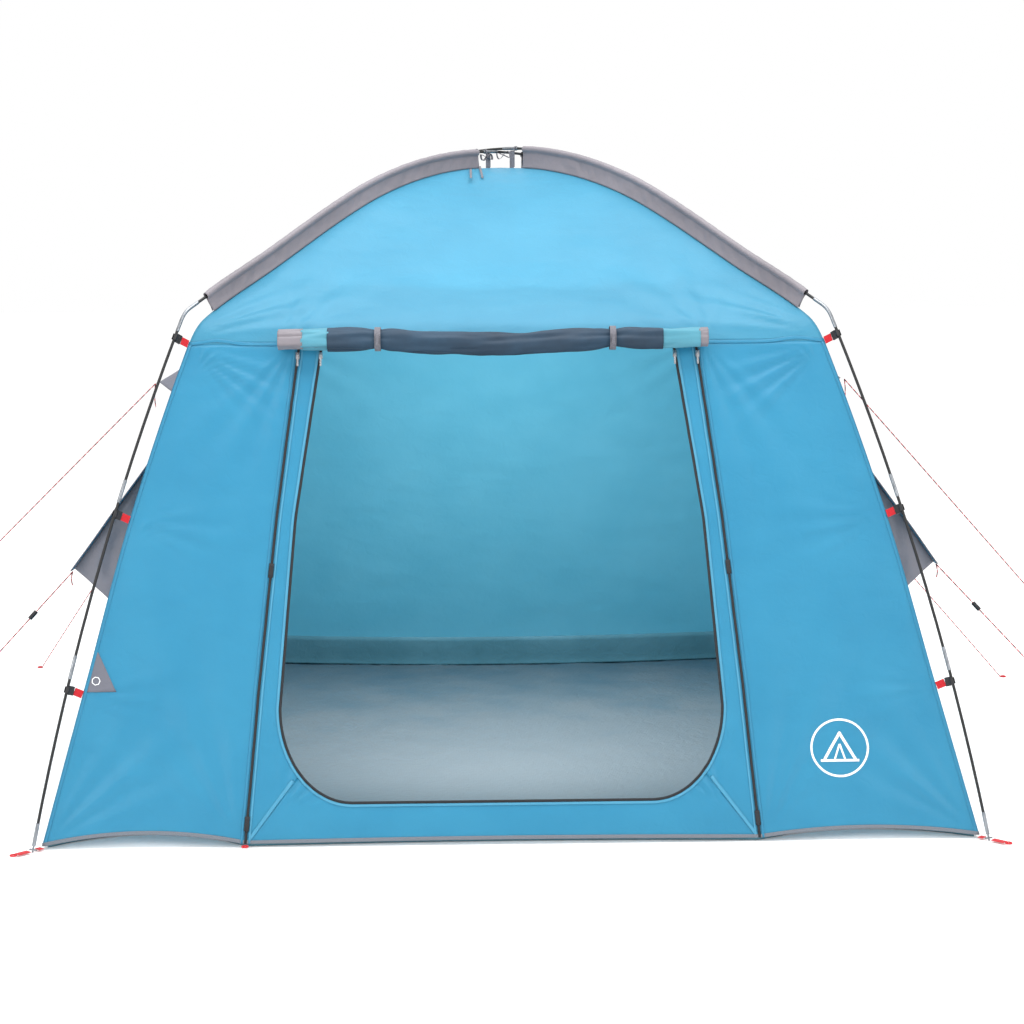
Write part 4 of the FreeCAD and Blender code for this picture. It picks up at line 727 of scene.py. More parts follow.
# Front wall: two side panels, each from a corner to an outer zip.
for name, left, right in (("left", left_edge, left_zip), ("right", right_zip, right_edge)):
    made = shell_panel("front", 60, 130, 0, EAVE, left, right)
    wall = piece("front_wall_%s_cloth" % name, made, taffeta, "blue_cloth", thickness=CLOTH,
                 inside=inner_face_painted_light)
    sheet_for("front_wall_" + name, wall, ["pole_clips"])

# Back wall: one panel.
made = shell_panel("back", 200, 110, 0, EAVE, left_edge, right_edge)
back = piece("back_wall_cloth", made, taffeta, "blue_cloth", thickness=CLOTH, inside=inner_face_painted_light)
sheet_for("back_wall", back, ["pole_clips"])

# Side walls: each has a wide window under its awning and a small vent under its hood.
WINDOWS = ((0.690, up_to(0.640), up_to(1.205)), (0.190, up_to(1.340), up_to(1.500)))


def window_wall(side):
    """A side wall with its openings cut out along their edges."""
    made = bmesh.new()
    bmesh.ops.create_grid(made, x_segments=190, y_segments=104, size=0.5)
    bmesh.ops.scale(made, vec=(2 * corner_spreads[0], EAVE, 1), verts=made.verts)
    bmesh.ops.translate(made, vec=(0, EAVE / 2, 0), verts=made.verts)
    for half, low, high in WINDOWS:
        reach = half * corner_spreads[0] / rail_at((low + high) / 2)[0].x
        for point, normal in (((-reach, 0, 0), (1, 0, 0)), ((reach, 0, 0), (1, 0, 0)),
                              ((0, low, 0), (0, 1, 0)), ((0, high, 0), (0, 1, 0))):
            bmesh.ops.bisect_plane(made, geom=made.verts[:] + made.edges[:] + made.faces[:],
                                   plane_co=point, plane_no=normal, dist=1e-5)
        inside = [face for face in made.faces
                  if abs(face.calc_center_median().x) < reach
                  and low < face.calc_center_median().y < high]
        bmesh.ops.delete(made, geom=inside, context="FACES")

    def place(flat):
        length = flat.y
        x = flat.x / corner_spreads[0] * rail_at(length)[0].x
        length += hem_arch(side, x) * (1 - length / EAVE) ** 3
        return (x, length), on_side(side, x, length)
    return lay(made, place)


for side in ("left", "right"):
    wall = piece("%s_wall_cloth" % side, window_wall(side), taffeta, "blue_cloth", thickness=CLOTH,
                 inside=inner_face_painted_light)
    sheet_for(side + "_wall", wall, ["pole_clips"])
    for number, (half, low, high) in enumerate(WINDOWS):
        middle = rail_at((low + high) / 2)[0].x

        def pane(p, q):
            length = low - 0.008 + (high - low + 0.016) * q
            x = (2 * p - 1) * (half + 0.008) * rail_at(length)[0].x / middle
            return (x, length), on_side(side, x, length, -0.003)
        made = flat_grid(round(half * 120), round((high - low) * 60), pane)
        name = ("window", "vent")[number]
        item = piece("%s_%s_mesh" % (side, name), made, insect_mesh, "navy_mesh", thickness=0.0006)
        sheet_for("window_and_vent_mesh", item, ["%s_wall_cloth" % side])


def strip_on_side(name, side, line, width, lift, material, slot, thickness=0.001):
    """A narrow band of cloth or tape sewn along a line on a side: [(along, length up), ...]."""
    points = [Vector(spot) for spot in line]
    runs = [0.0]
    for low, high in zip(points, points[1:]):
        runs.append(runs[-1] + (high - low).length)

    def place(p, q):
        run = p * runs[-1]
        n = min(max(bisect_left(runs, run), 1), len(points) - 1)
        share = (run - runs[n - 1]) / max(runs[n] - runs[n - 1], 1e-9)
        spot = points[n - 1].lerp(points[n], share)
        before = points[max(n - 2, 0)]
        after = points[min(n + 1, len(points) - 1)]
        across = (after - before).normalized()
        shift = (q - 0.5) * width
        x, length = spot.x - across.y * shift, spot.y + across.x * shift
        return (run, shift), on_side(side, x, length, lift)
    made = flat_grid(max(round(runs[-1] / 0.012), 4), 4, place)
    return piece(name, made, material, slot, thickness=thickness, offset=0.0)


def straight(first, last, steps=60):
    return [Vector(first).lerp(Vector(last), n / steps) for n in range(steps + 1)]


# Doorway outline: straight jambs that spread downwards, wide round lower corners, flat sill.
DOOR_LOW, DOOR_MID, DOOR_TOP = 0.711, 0.664, 0.580
DOOR_WIDEST, DOOR_SILL = up_to(0.422), up_to(0.128)
DOOR_CORNER = 0.235


def door_half(length):
    """Half width of the doorway above its round corners."""
    return line_at(length, (DOOR_LOW, DOOR_WIDEST), (DOOR_MID, MID), (DOOR_TOP, EAVE))


def doorway(inset, jamb=40, corner=24, sill=44):
    """The doorway's outline, from the eave at the left down and round to the eave at the right."""
    half_line = []
    for n in range(jamb):
        length = EAVE + (DOOR_WIDEST - EAVE) * n / jamb
        half_line.append((door_half(length) - inset, length))
    for n in range(corner):
        turn = math.pi / 2 * n / corner
        half_line.append((DOOR_LOW - DOOR_CORNER + (DOOR_CORNER - inset) * math.cos(turn),
                          DOOR_WIDEST - (DOOR_WIDEST - DOOR_SILL - inset) * math.sin(turn)))
    for n in range(sill // 2 + 1):
        share = n / (sill // 2)
        half_line.append(((DOOR_LOW - DOOR_CORNER) * (1 - share), DOOR_SILL + inset))
    left = [(DOOR_SHIFT - x, y) for x, y in half_line]
    return left + [(2 * DOOR_SHIFT - x, y) for x, y in reversed(left[:-1])]


JAMB, CORNER, SILL = 40, 24, 44
inner_line = doorway(0.0, JAMB, CORNER, SILL)
outer_line = []
for n, (x, length) in enumerate(inner_line[:JAMB + CORNER + SILL // 2 + 1]):
    if n <= JAMB:
        outer_line.append((DOOR_SHIFT - zip_half(length), length))
    elif n <= JAMB + CORNER // 2:
        drop = DOOR_WIDEST * (1 - (n - JAMB) / (CORNER // 2))
        outer_line.append((DOOR_SHIFT - zip_half(drop), drop))
    elif n <= JAMB + CORNER:
        share = (n - JAMB - CORNER // 2) / (CORNER // 2)
        inner = DOOR_SHIFT - DOOR_LOW + DOOR_CORNER
        outer_line.append((DOOR_SHIFT - ZIP_BASE + (inner - DOOR_SHIFT + ZIP_BASE) * share, 0.0))
    else:
        outer_line.append((x, 0.0))
outer_line += [(2 * DOOR_SHIFT - x, y) for x, y in reversed(outer_line[:-1])]


def surround_part(name, first, last, turn):
    """One of the three cuts of the doorway's surround, which meet at mitred seams."""
    def place(p, q):
        spot = first + p * (last - first)
        n = min(int(spot), len(inner_line) - 2)
        share = spot - n
        inside = Vector(inner_line[n]).lerp(Vector(inner_line[n + 1]), share)
        outside = Vector(outer_line[n]).lerp(Vector(outer_line[n + 1]), share)
        x, length = outside.lerp(inside, q)
        hem = hem_arch("front", x) * (1 - length / EAVE) ** 3 if length < 0.3 else 0
        return (x, length + hem), on_side("front", x, length + hem)
    item = piece(name, flat_grid((last - first) * 2, 16, place), taffeta, "blue_cloth",
                 thickness=CLOTH, inside=inner_face_painted_light)
    sheet_for("door_surround", item, ["hem_binding"], turn=turn)


MITRE = JAMB + CORNER // 2
surround_part("door_jamb_left_cloth", 0, MITRE, 6)
surround_part("door_sill_cloth", MITRE, len(inner_line) - 1 - MITRE, 0)
surround_part("door_jamb_right_cloth", len(inner_line) - 1 - MITRE, len(inner_line) - 1, -6)

# ---------------------------------------------------------------- zips, seams and hems
ZIP_TAB = 0.046
for name, edge, hand in (("left", left_zip, -1), ("right", right_zip, 1)):
    line = [(edge(EAVE * n / 120, 0), EAVE * n / 120) for n in range(121)]
    tape = strip_on_side("outer_zip_" + name, "front", line, 0.0085, 0.0022, zip_nylon, "zip_black")
    strip_on_side("outer_zip_coil_" + name, "front", line, 0.0036, 0.0036, zip_nylon,
                  "zip_black", thickness=0.002)
    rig.replaces(tape, "outer_zips")
    guard = [(x + hand * 0.012, y) for x, y in line]
    strip_on_side("outer_zip_guard_" + name, "front", guard, 0.007, 0.0022, seam_cloth, "blue_cloth")
    inner_guard = [(x - hand * 0.012, y) for x, y in line]
    strip_on_side("outer_zip_seam_" + name, "front", inner_guard, 0.006, 0.0018, guard_cloth,
                  "blue_cloth")
    for n, height in enumerate((0.072, 0.850)):
        middle = up_to(height)
        low, high = middle - ZIP_TAB / 2, middle + ZIP_TAB / 2
        line = straight((edge(low, 0), low), (edge(high, 0), high), 8)
        strip_on_side("outer_zip_tab_%s_%d" % (name, n), "front", line, 0.015, 0.0052, zip_nylon,
                      "zip_black", thickness=0.002)
door_zip = strip_on_side("door_zip_tape", "front", doorway(0.004), 0.0085, 0.002, zip_nylon, "zip_black")
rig.replaces(door_zip, "door_zip")
strip_on_side("door_zip_coil", "front", doorway(0.005), 0.0036, 0.0034, zip_nylon, "zip_black",
              thickness=0.002)
strip_on_side("door_zip_guard", "front", doorway(-0.005), 0.008, 0.0022, guard_cloth, "blue_cloth")

for side in SIDES:
    spread = corner_spreads[3]
    line = [(x, EAVE + 0.012 * math.exp(-((spread - abs(x) - 0.09) / 0.06) ** 2))
            for x, _ in straight((-spread, EAVE), (spread, EAVE), 160)]
    strip_on_side("eave_seam_" + side, side, line, 0.011, 0.0014, seam_cloth, "blue_cloth")
    for hand, name in ((-1, "left"), (1, "right")):
        corner = [(hand * (rail_at(EAVE * n / 100)[0].x - 0.006), EAVE * n / 100)
                  for n in range(101)]
        strip_on_side("corner_seam_%s_%s" % (side, name), side, corner, 0.010, 0.0012, seam_cloth,
                      "blue_cloth")
    edge = corner_spreads[0]
    hem = [(x, hem_arch(side, x) + 0.004) for x, _ in straight((-edge, 0), (edge, 0), 160)]
    binding = strip_on_side("hem_binding_" + side, side, hem, 0.012, 0.0006, binding_tape,
                            "grey_cloth", thickness=0.0034)
    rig.replaces(binding, "hem_binding")
for hand, name in ((-1, "left"), (1, "right")):
    foot = (DOOR_SHIFT + hand * (ZIP_BASE - 0.01), 0.01)
    head = (DOOR_SHIFT + hand * (DOOR_LOW - 0.045), DOOR_SILL + 0.075)
    strip_on_side("door_corner_seam_" + name, "front", straight(head, foot, 30), 0.011, 0.0016,
                  guard_cloth, "blue_cloth")

# ---------------------------------------------------------------- sleeves along the ridges
SLEEVE_DEPTH = 0.058
SKIRT, TUNNEL, TUNNEL_TURN = 0.047, 0.0108, math.radians(312)
LIFT_AT_CROWN = 0.01175
CORNERS = {"back_right": 45, "back_left": 135, "front_left": 225, "front_right": 315}


def ridge_at(length, degrees):
    """A point of the ridge in the upright plane through a corner, its normal, and the sideways axis."""
    point, normal = rail_at(length)
    tangent = Vector((-normal.y * math.sqrt(2), normal.x)).normalized()
    turn = math.radians(degrees)
    outwards = Vector((math.cos(turn), math.sin(turn), 0))
    ridge = outwards * (point.x * math.sqrt(2)) + Vector((0, 0, point.y))
    square = outwards * tangent.y - Vector((0, 0, tangent.x))
    return ridge, square.normalized(), Vector((-math.sin(turn), math.cos(turn), 0)), point.x


def sleeve(name, degrees, lifted):
    low = up_to(1.672)
    high = TOP - 0.084
    across = 2 * SKIRT + TUNNEL * TUNNEL_TURN

    def place(p, q):
        length = low + (high - low) * p
        ridge, square, sideways, spread = ridge_at(length, degrees)
        lift = LIFT_AT_CROWN * smooth(1 - spread / 1.05) if lifted else 0.0
        flat = q * across
        slant = abs(q - 0.5) * 1.6
        pucker = noise.noise(Vector((length * 46 + slant, degrees, q * 1.8)))
        fine = noise.noise(Vector((length * 120 + slant * 2, degrees + 5, q * 4)))
        tight = 0.0036 * pucker + 0.0016 * fine
        if flat < SKIRT or flat > across - SKIRT:
            hand = -1 if flat < SKIRT else 1
            up = flat / SKIRT if hand < 0 else (across - flat) / SKIRT
            wide = 0.0022 + 0.0035 * (1 - up) ** 3 + 0.0012 * up ** 4
            point = (ridge + square * (up * (SLEEVE_DEPTH + lift - 0.0100))
                     + sideways * (hand * wide + tight * math.sin(math.pi * up)))
        else:
            turn = ((flat - SKIRT) / (across - 2 * SKIRT) - 0.5) * TUNNEL_TURN
            radius = TUNNEL + 0.0012 * pucker + 0.0005 * fine
            point = (ridge + square * (SLEEVE_DEPTH + lift + radius * math.cos(turn))
                     + sideways * radius * math.sin(turn))
        return (length, flat), point
    item = piece(name, flat_grid(240, 30, place), grey_taffeta, "grey_cloth", thickness=0.0008)
    sheet_for("pole_sleeves", item, ["pole_a_rods" if not lifted else "pole_b_rods"])


a_is_back_right = any(v.co.x > 1.4 and v.co.y > 1.4 for v in nodes["pole_a_rods"].data.vertices)
for name, degrees in CORNERS.items():
    on_first = (degrees in (45, 225)) == a_is_back_right
    sleeve("pole_sleeve_" + name, degrees, not on_first)


# ---------------------------------------------------------------- floor tub
NEAR_HEM = 0.3    # the strip of floor that its edges pull on
PULLED_IN = 4.2   # how far an edge is pulled in, against the rise of the hem over it
SILL_SIDE = 0.84  # height of the tub's side under the doorway, against the rest of it


def tub_floor():
    """The floor and its upright sides, cut from one sheet that is folded up at its edges."""
    low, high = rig.box("floor_tub")
    half, rise = high.x - 0.006, high.z
    reach = half + rise
    made = bmesh.new()
    bmesh.ops.create_grid(made, x_segments=150, y_segments=150, size=reach)
    for x, y in ((1, 0), (0, 1)):
        for hand in (-1, 1):
            bmesh.ops.bisect_plane(made, geom=made.verts[:] + made.edges[:] + made.faces[:],
                                   plane_co=(hand * half * x, hand * half * y, 0),
                                   plane_no=(x, y, 0), dist=1e-5)
    corners = [face for face in made.faces
               if min(abs(face.calc_center_median().x), abs(face.calc_center_median().y)) > half]
    bmesh.ops.delete(made, geom=corners, context="FACES")
    layer = made.loops.layers.uv.new("UVMap")
    for face in made.faces:
        for loop in face.loops:
            loop[layer].uv = loop.vert.co.xy
    for vertex in made.verts:
        x, y = vertex.co.xy
        up = max(abs(x), abs(y)) - half
        if y < -half and abs(x - DOOR_SHIFT) < DOOR_LOW:
            up *= SILL_SIDE
        inward = half
        if up > 0:
            inward = min(half, rail_at(up_to(max(up, 0.012)))[0].x - 0.008 - 0.012 * smooth(up / rise))
        ripple = 0.5 + 0.5 * noise.noise(Vector((x * 2.3, y * 2.3, 4.0)))
        ripple += 0.35 * noise.noise(Vector((x * 7.0, y * 7.0, 9.0)))
        flat = 0.0022 + 0.0070 * max(ripple, 0) * smooth((half - max(abs(x), abs(y))) / 0.15)
        near = half - NEAR_HEM
        pulls = {side: PULLED_IN * hem_arch(side, along) if at_edge else 0.0
                 for side, at_edge, along in (("front", y < -near, x), ("back", y > near, -x),
                                              ("right", x > near, y), ("left", x < -near, -y))}
        wave = 0.004 * noise.noise(Vector((x * 3.0, y * 3.0, 2.0))) * smooth(up / 0.05)
        vertex.co = Vector((min(max(x, pulls["left"] - inward), inward - pulls["right"]),
                            min(max(y, pulls["front"] - inward), inward - pulls["back"]),
                            max(up, 0.0) + flat))
        if up > 0 and abs(x) > abs(y):
            vertex.co.x -= math.copysign(abs(wave), x)
        elif up > 0:
            vertex.co.y -= math.copysign(abs(wave), y)
    bmesh.ops.remove_doubles(made, verts=made.verts, dist=0.0003)
    return made


tub = piece("floor_tub_sheet", tub_floor(), floor_sheeting, "floor_sheet", thickness=0.001)
tub.data.materials.append(tub_side)
for polygon in tub.data.polygons:
    polygon.material_index = 1 if abs(polygon.normal.z) < 0.7 or polygon.center.z > 0.03 else 0
sheet_for("floor_tub", tub, ["hem_binding"], "laid")

# ---------------------------------------------------------------- awnings and their gussets
AWNING_HINGE, AWNING_LIP = Vector((1.1544, 0, 1.250)), Vector((1.5065, 0, 0.774))


def awning_point(hand, y_share, down, lift=0.0):
    """A point of the awning: hand is -1 at the left and 1 at the right; down runs hinge to lip."""
    low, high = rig.box("left_awning" if hand < 0 else "right_awning")
    slack = 1 - 0.045 * math.sin(math.pi * min(max(y_share, 0), 1)) * down
    point = AWNING_HINGE.lerp(AWNING_LIP, down * slack)
    run = (AWNING_LIP - AWNING_HINGE).normalized()
    square = Vector((-run.z, 0, run.x))
    inside = min(max(y_share, 0), 1)
    sag = 0.016 * math.sin(math.pi * inside) * math.sin(math.pi * min(down, 1) * 0.8)
    sag += 0.004 * noise.noise(Vector((inside * 4, down * 2.5, hand))) * smooth(down * 5)
    for tip in (0, 1):
        turn = math.atan2(abs(inside - tip) * 1.47, max((1 - down) * 0.592, 1e-6))
        near = math.hypot((inside - tip) * 1.47, (1 - down) * 0.592) / 0.25
        sag += 0.006 * math.sin(turn * 9) * near * math.exp(1 - near) * 0.5
    out = lift - sag * smooth(down * 8)
    y = low.y + (high.y - low.y) * y_share
    return Vector((hand * (point.x + square.x * out), y, point.z + square.z * out))


for hand, side in ((-1, "left"), (1, "right")):
    body = "awning_" + side
    low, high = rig.box(side + "_awning")
    wide, deep = high.y - low.y, (AWNING_LIP - AWNING_HINGE).length

    def lay_awning(p, q):
        y_share = p if hand > 0 else 1 - p
        return (p * wide, q * deep), awning_point(hand, y_share, 1 - q)

    def lay_lip(p, q):
        y_share = p if hand > 0 else 1 - p
        return (p * wide, q * 0.014), awning_point(hand, y_share, 1.006 - 0.020 * q, 0.0004)
    awning = piece(side + "_awning_cloth", flat_grid(110, 44, lay_awning), taffeta, "blue_cloth",
                   body=body, thickness=CLOTH)
    sheet_for(side + "_awning", awning, [side + "_wall_cloth"])
    piece(side + "_awning_lip_binding", flat_grid(110, 3, lay_lip), grey_taffeta, "grey_cloth",
          body=body, thickness=0.003, offset=0.0)
    for end in (0, 1):
        def lay_edge(p, q):
            y_share = end + (q - 0.5) * 0.030
            return (p * deep, q * 0.022), awning_point(hand, y_share, 1 - p, 0.0006)
        piece("%s_awning_edge_%s" % (side, ("front", "back")[end]), flat_grid(50, 4, lay_edge),
              grey_taffeta, "grey_cloth", body=body, thickness=0.0028, offset=0.0)
        y = (low.y + 0.006, high.y - 0.006)[end]
        shares = []

        def lay_gusset(p, q):
            down = 0.03 + 0.955 * (1 - q)
            edge = awning_point(hand, end, down, -0.003)
            edge.y = y
            height = 0.610 + (1.222 - 0.610) * q
            wall = on_side(side, hand * y, up_to(height), 0.002)
            point = edge.lerp(wall, p)
            slack = math.sin(math.pi * p)
            folds = math.sin(p * 9 + q * 16 + end * 2) * 0.35
            folds += noise.noise(Vector((p * 3.5, q * 8 + end * 7, hand * 5)))
            point.y += 0.011 * folds * slack * smooth((1 - q) * 3)
            shares.append(p)
            return (p * (0.02 + 0.24 * (1 - q)), q * 0.61), point
        gusset = piece("%s_awning_gusset_%s" % (side, ("front", "back")[end]),
                       flat_grid(22, 56, lay_gusset), shade_taffeta, "grey_cloth", body=None,
                       thickness=0.0008)
        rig.blend(gusset, body, "tent", start=awning_point(hand, end, 1.0),
                 end=(hand * 1.335, y, 0.610))
        gusset.data.attributes["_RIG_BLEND"].data.foreach_set("value", shares)
        sheet_for(side + "_awning_gussets", gusset, [side + "_awning_cloth", side + "_wall_cloth"])

# ---------------------------------------------------------------- vent hoods
# Half width and height of a hood's upper edge and its foot, and reach and height of its tip.
HOOD_TOP, HOOD_FOOT, HOOD_TIP = (0.290, 1.540), (0.270, 1.290), (1.300, 1.378)
HOOD_LIFT = 0.002
for hand, side in ((-1, "left"), (1, "right")):
    def lay_hood(p, q):
        over = 2 * p - 1
        top = on_side(side, over * HOOD_TOP[0], up_to(HOOD_TOP[1]), HOOD_LIFT)
        foot = on_side(side, math.copysign(HOOD_FOOT[0], over), up_to(HOOD_FOOT[1]), HOOD_LIFT)
        tip = Vector((hand * HOOD_TIP[0], 0, HOOD_TIP[1]))
        rim = tip.lerp(foot, abs(over) ** 1.15)
        point = rim.lerp(top, q)
        slack = math.sin(math.pi * q) * (1 - abs(over)) * 0.5
        folds = noise.noise(Vector((over * 5, q * 3, hand * 3)))
        out = (-0.030 * math.sin(math.pi * q) * math.sin(math.pi * min(abs(over) * 1.1, 1))
               + 0.008 * folds * math.sin(math.pi * q))
        return (over * 0.33, q * 0.27), point + Vector((hand * out, 0, out * 0.4)) * (0.6 + slack)
    hood = piece(side + "_vent_hood", flat_grid(64, 26, lay_hood), hood_taffeta, "grey_cloth",
                 thickness=CLOTH)
    sheet_for("vent_hoods", hood, [side + "_wall_cloth"])

# ---------------------------------------------------------------- the rolled-up door
ROLL_HEIGHT, ROLL_DEPTH = 1.580, -1.082
TIES = (-0.424, 0.342)


def roll_radius(x, turn, size):
    """Radius of the roll: pinched by the ties, slack and creased between them."""
    pinch = max(math.exp(-((x - tie) / 0.030) ** 2) for tie in TIES)
    radius = size * (1 - 0.17 * pinch)
    around = Vector((math.cos(turn), math.sin(turn)))
    radius += 0.0085 * noise.noise(Vector((x * 4.5, around.x * 1.3, around.y * 1.3)))
    radius += 0.0062 * noise.noise(Vector((x * 9 + turn * 0.6, around.x * 2.6, around.y * 2.6 + 3)))
    return radius


def roll_centre(x):
    sag = 0.016 * math.sin(math.pi * min(max((x - TIES[0]) / (TIES[1] - TIES[0]), 0), 1))
    return Vector((x, ROLL_DEPTH, ROLL_HEIGHT - sag))


def rolled(name, first, last, size, material, slot, node, layers):
    """One stretch of the roll, wound from its inner layers out to a free edge."""
    turns = 1 + layers

    def place(p, q):
        x = first + (last - first) * p
        turn = -math.pi * 0.62 + 2 * math.pi * q * turns
        radius = roll_radius(x, turn, size) - 0.0022 * (turns - q * turns)
        spot = roll_centre(x) + Vector((0, math.cos(turn), math.sin(turn))) * radius
        return (x, q * turns * 2 * math.pi * size), spot
    made = flat_grid(max(round((last - first) / 0.006), 6), round(40 * turns), place)
    bmesh.ops.reverse_faces(made, faces=made.faces)
    item = piece(name, made, material, slot, thickness=0.001)
    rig.replaces(item, node)
    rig.padded(item, fill=0.4)
    return item


rolled("door_roll_mesh", -0.588, 0.506, 0.037, rolled_mesh, "navy_mesh", "door_mesh_roll", 0.3)
# The cuffs are the door panel's inner face, in its paler painted-light colour.
rolled("door_roll_cuff_left", -0.673, -0.583, 0.0345, inner_face_painted_light, "blue_cloth", "door_panel_roll", 1)
rolled("door_roll_cuff_right", 0.501, 0.628, 0.0345, inner_face_painted_light, "blue_cloth", "door_panel_roll", 1)
rolled("door_roll_hem_left", -0.748, -0.668, 0.0355, grey_taffeta, "grey_cloth", "door_roll_hems", 3)
rolled("door_roll_hem_right", 0.623, 0.654, 0.0325, grey_taffeta, "grey_cloth", "door_roll_hems", 3)


# ---------------------------------------------------------------- webbing, ribbon and loops
def woven_copy(name, node, material, slot, edge=0.0006):
    """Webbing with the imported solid's size, its cut edges rounded as woven tape's are."""
    made = bmesh.new()
    made.from_mesh(nodes[node].data)
    bmesh.ops.remove_doubles(made, verts=made.verts, dist=1e-5)
    bmesh.ops.dissolve_limit(made, angle_limit=math.radians(3), verts=made.verts, edges=made.edges)
    sharp = [item for item in made.edges
             if item.is_manifold and item.calc_face_angle(0) > math.radians(45)]
    bmesh.ops.bevel(made, geom=sharp, offset=edge, offset_type="OFFSET", segments=2, profile=0.5,
                    affect="EDGES", material=-1, clamp_overlap=True)
    item = piece(name, made, material, slot)
    for polygon in item.data.polygons:
        polygon.use_smooth = False
    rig.replaces(item, node)
    return item


for name, node, material, slot in (
    ("clip_strap_webbing", "clip_straps", red_webbing, "red_webbing"),
    ("peg_loop_webbing", "peg_loops", red_webbing, "red_webbing"),
    ("guy_rope_ground_loops", "guy_rope_loops", red_webbing, "red_webbing"),
    ("door_tie_webbing", "door_ties", grey_webbing, "grey_webbing"),
    ("crown_strap_webbing", "crown_straps", grey_webbing, "grey_webbing"),
):
    woven_copy(name, node, material, slot)
woven_copy("crown_ribbon", "crown_ties", grey_webbing, "grey_webbing", 0.0003)



def ribbon_bow(name, centre, turn, long, tall):
    """A ribbon tied in a bow: a flat figure of eight on its edge."""
    def place(p, q):
        way = 2 * math.pi * p
        along = long * math.sin(way)
        point = Vector((along * math.cos(turn), along * math.sin(turn),
                        tall * math.sin(way) * math.cos(way) + 0.004 * math.sin(3 * way)))
        across = Vector((-math.sin(turn), math.cos(turn), 0.2)) * ((q - 0.5) * 0.012)
        return (p * 4.4 * long, q * 0.012), Vector(centre) + point + across
    return piece(name, flat_grid(48, 3, place), grey_webbing, "grey_webbing", thickness=0.0008,
                 offset=0.0)


strip_on_side("crown_ribbon_tail", "front", straight((-0.078, TOP - 0.075), (-0.070, TOP - 0.245)),
              0.008, 0.007, grey_webbing, "grey_webbing")
ribbon_bow("crown_bow_left", (-0.052, -0.052, 2.213), math.radians(35), 0.026, 0.020)
ribbon_bow("crown_bow_right", (0.012, -0.012, 2.222), math.radians(-20), 0.026, 0.022)

# ---------------------------------------------------------------- port patch and badge
patch_low, patch_high = 0.478, 0.600


def lay_patch(p, q):
    height = patch_low + (patch_high - patch_low) * q
    length = up_to(height)
    start = -rail_at(length)[0].x + 0.010
    x = start + p * 0.092 * (1 - q * 0.97)
    return (x, length), on_side("front", x, length, 0.0022)


patch = piece("cable_port_patch_cloth", flat_grid(14, 18, lay_patch), hood_taffeta, "grey_cloth",
              thickness=0.0014)
sheet_for("cable_port_patch", patch, ["front_wall_left_cloth"])


def ring_line(x, y, radius, steps=64, turn=2 * math.pi):
    return [(x + radius * math.cos(turn * n / steps), y + radius * math.sin(turn * n / steps))
            for n in range(steps + 1)]


strip_on_side("patch_ring_print", "front", ring_line(-1.322, up_to(0.512), 0.013, 24), 0.003, 0.0036,
              white_ink, "white_print", thickness=0.0003)
badge_x, badge_y = 1.047, up_to(0.283)
badge = strip_on_side("badge_ring_print", "front", ring_line(badge_x, badge_y, 0.090), 0.007, 0.0010,
                      white_ink, "white_print", thickness=0.0003)
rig.replaces(badge, "badge")
for name, line, width in (
    ("tent_left", ((-0.052, -0.040), (0.002, 0.050)), 0.009),
    ("tent_right", ((-0.002, 0.050), (0.052, -0.040)), 0.009),
    ("tent_base", ((-0.062, -0.040), (0.062, -0.040)), 0.008),
    ("flap_left", ((-0.018, -0.040), (0.0, 0.012)), 0.006),
    ("flap_right", ((0.018, -0.040), (0.0, 0.012)), 0.006),
):
    first, last = ((badge_x + x, badge_y + y) for x, y in line)
    strip_on_side("badge_%s_print" % name, "front", straight(first, last, 12), width, 0.0012,
                  white_ink, "white_print", thickness=0.0003)

# ---------------------------------------------------------------- guy ropes
ROPE = 0.004
VENT_TAIL, AWNING_TAIL = 0.090, 0.048
# Each rope from its tab on the cloth to its loop on the ground, with what its top end follows.
ROPES = [
    ("left_near", "awning_left",
     [(-1.506, -0.732, 0.768), (-1.862, -0.920, 0.379), (-2.200, -1.100, 0.003)]),
    ("left_far", "awning_left",
     [(-1.506, 0.716, 0.768), (-1.795, 1.032, 0.381), (-2.067, 1.337, 0.003)]),
    ("right_near", "awning_right",
     [(1.506, -0.732, 0.768), (1.862, -0.920, 0.379), (2.200, -1.100, 0.003)]),
    ("right_far", "awning_right",
     [(1.506, 0.716, 0.768), (1.863, 0.826, 0.381), (2.203, 0.932, 0.003)]),
    ("left_vent", "tent", [(-1.314, 0.0, 1.372), (-2.016, -0.031, 0.682), (-2.700, -0.060, 0.003)]),
    ("right_vent", "tent", [(1.314, 0.0, 1.372), (1.941, 0.051, 0.682), (2.550, 0.100, 0.003)]),
]


def along_route(points, radius=0.0):
    """A mesh of a route's smooth line, or of a round cord along it."""
    curve = bpy.data.curves.new("route", "CURVE")
    curve.dimensions = "3D"
    curve.bevel_depth = radius
    curve.bevel_resolution = 3
    curve.use_fill_caps = radius > 0
    spline = curve.splines.new("NURBS")
    spline.points.add(len(points) - 1)
    for spot, point in zip(spline.points, points):
        spot.co = (*point, 1)
    spline.order_u = 3
    spline.use_endpoint_u = True
    spline.resolution_u = 24
    holder = put("route", curve)
    data = bpy.data.meshes.new_from_object(holder)
    bpy.data.objects.remove(holder)
    return data


def cord_piece(name, points, body, far_end, lay):
    """A cord along a route, declared with the length of its own line."""
    path = [vertex.co.copy() for vertex in along_route(points).vertices]
    length = sum((b - a).length for a, b in zip(path, path[1:]))
    data = along_route(points, ROPE / 2)
    for polygon in data.polygons:
        polygon.use_smooth = True
    if data.uv_layers:
        for spot in data.uv_layers[0].data:
            spot.uv = (spot.uv.x * length, spot.uv.y * math.pi * ROPE)
    data.materials.clear()
    data.materials.append(rope_braid)
    item = put(name, data)
    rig.slot(item, "guy_rope")
    if body != "tent" and lay == "taut":
        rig.blend(item, body, "tent", start=path[0].lerp(path[-1], 0.33), end=path[-1])
    else:
        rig.ride(item, body)
    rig.cord(item, exit=points[0], length=length, diameter=ROPE, far_end=far_end,
            stiffness="limp", lay=lay, path=path)
    return item


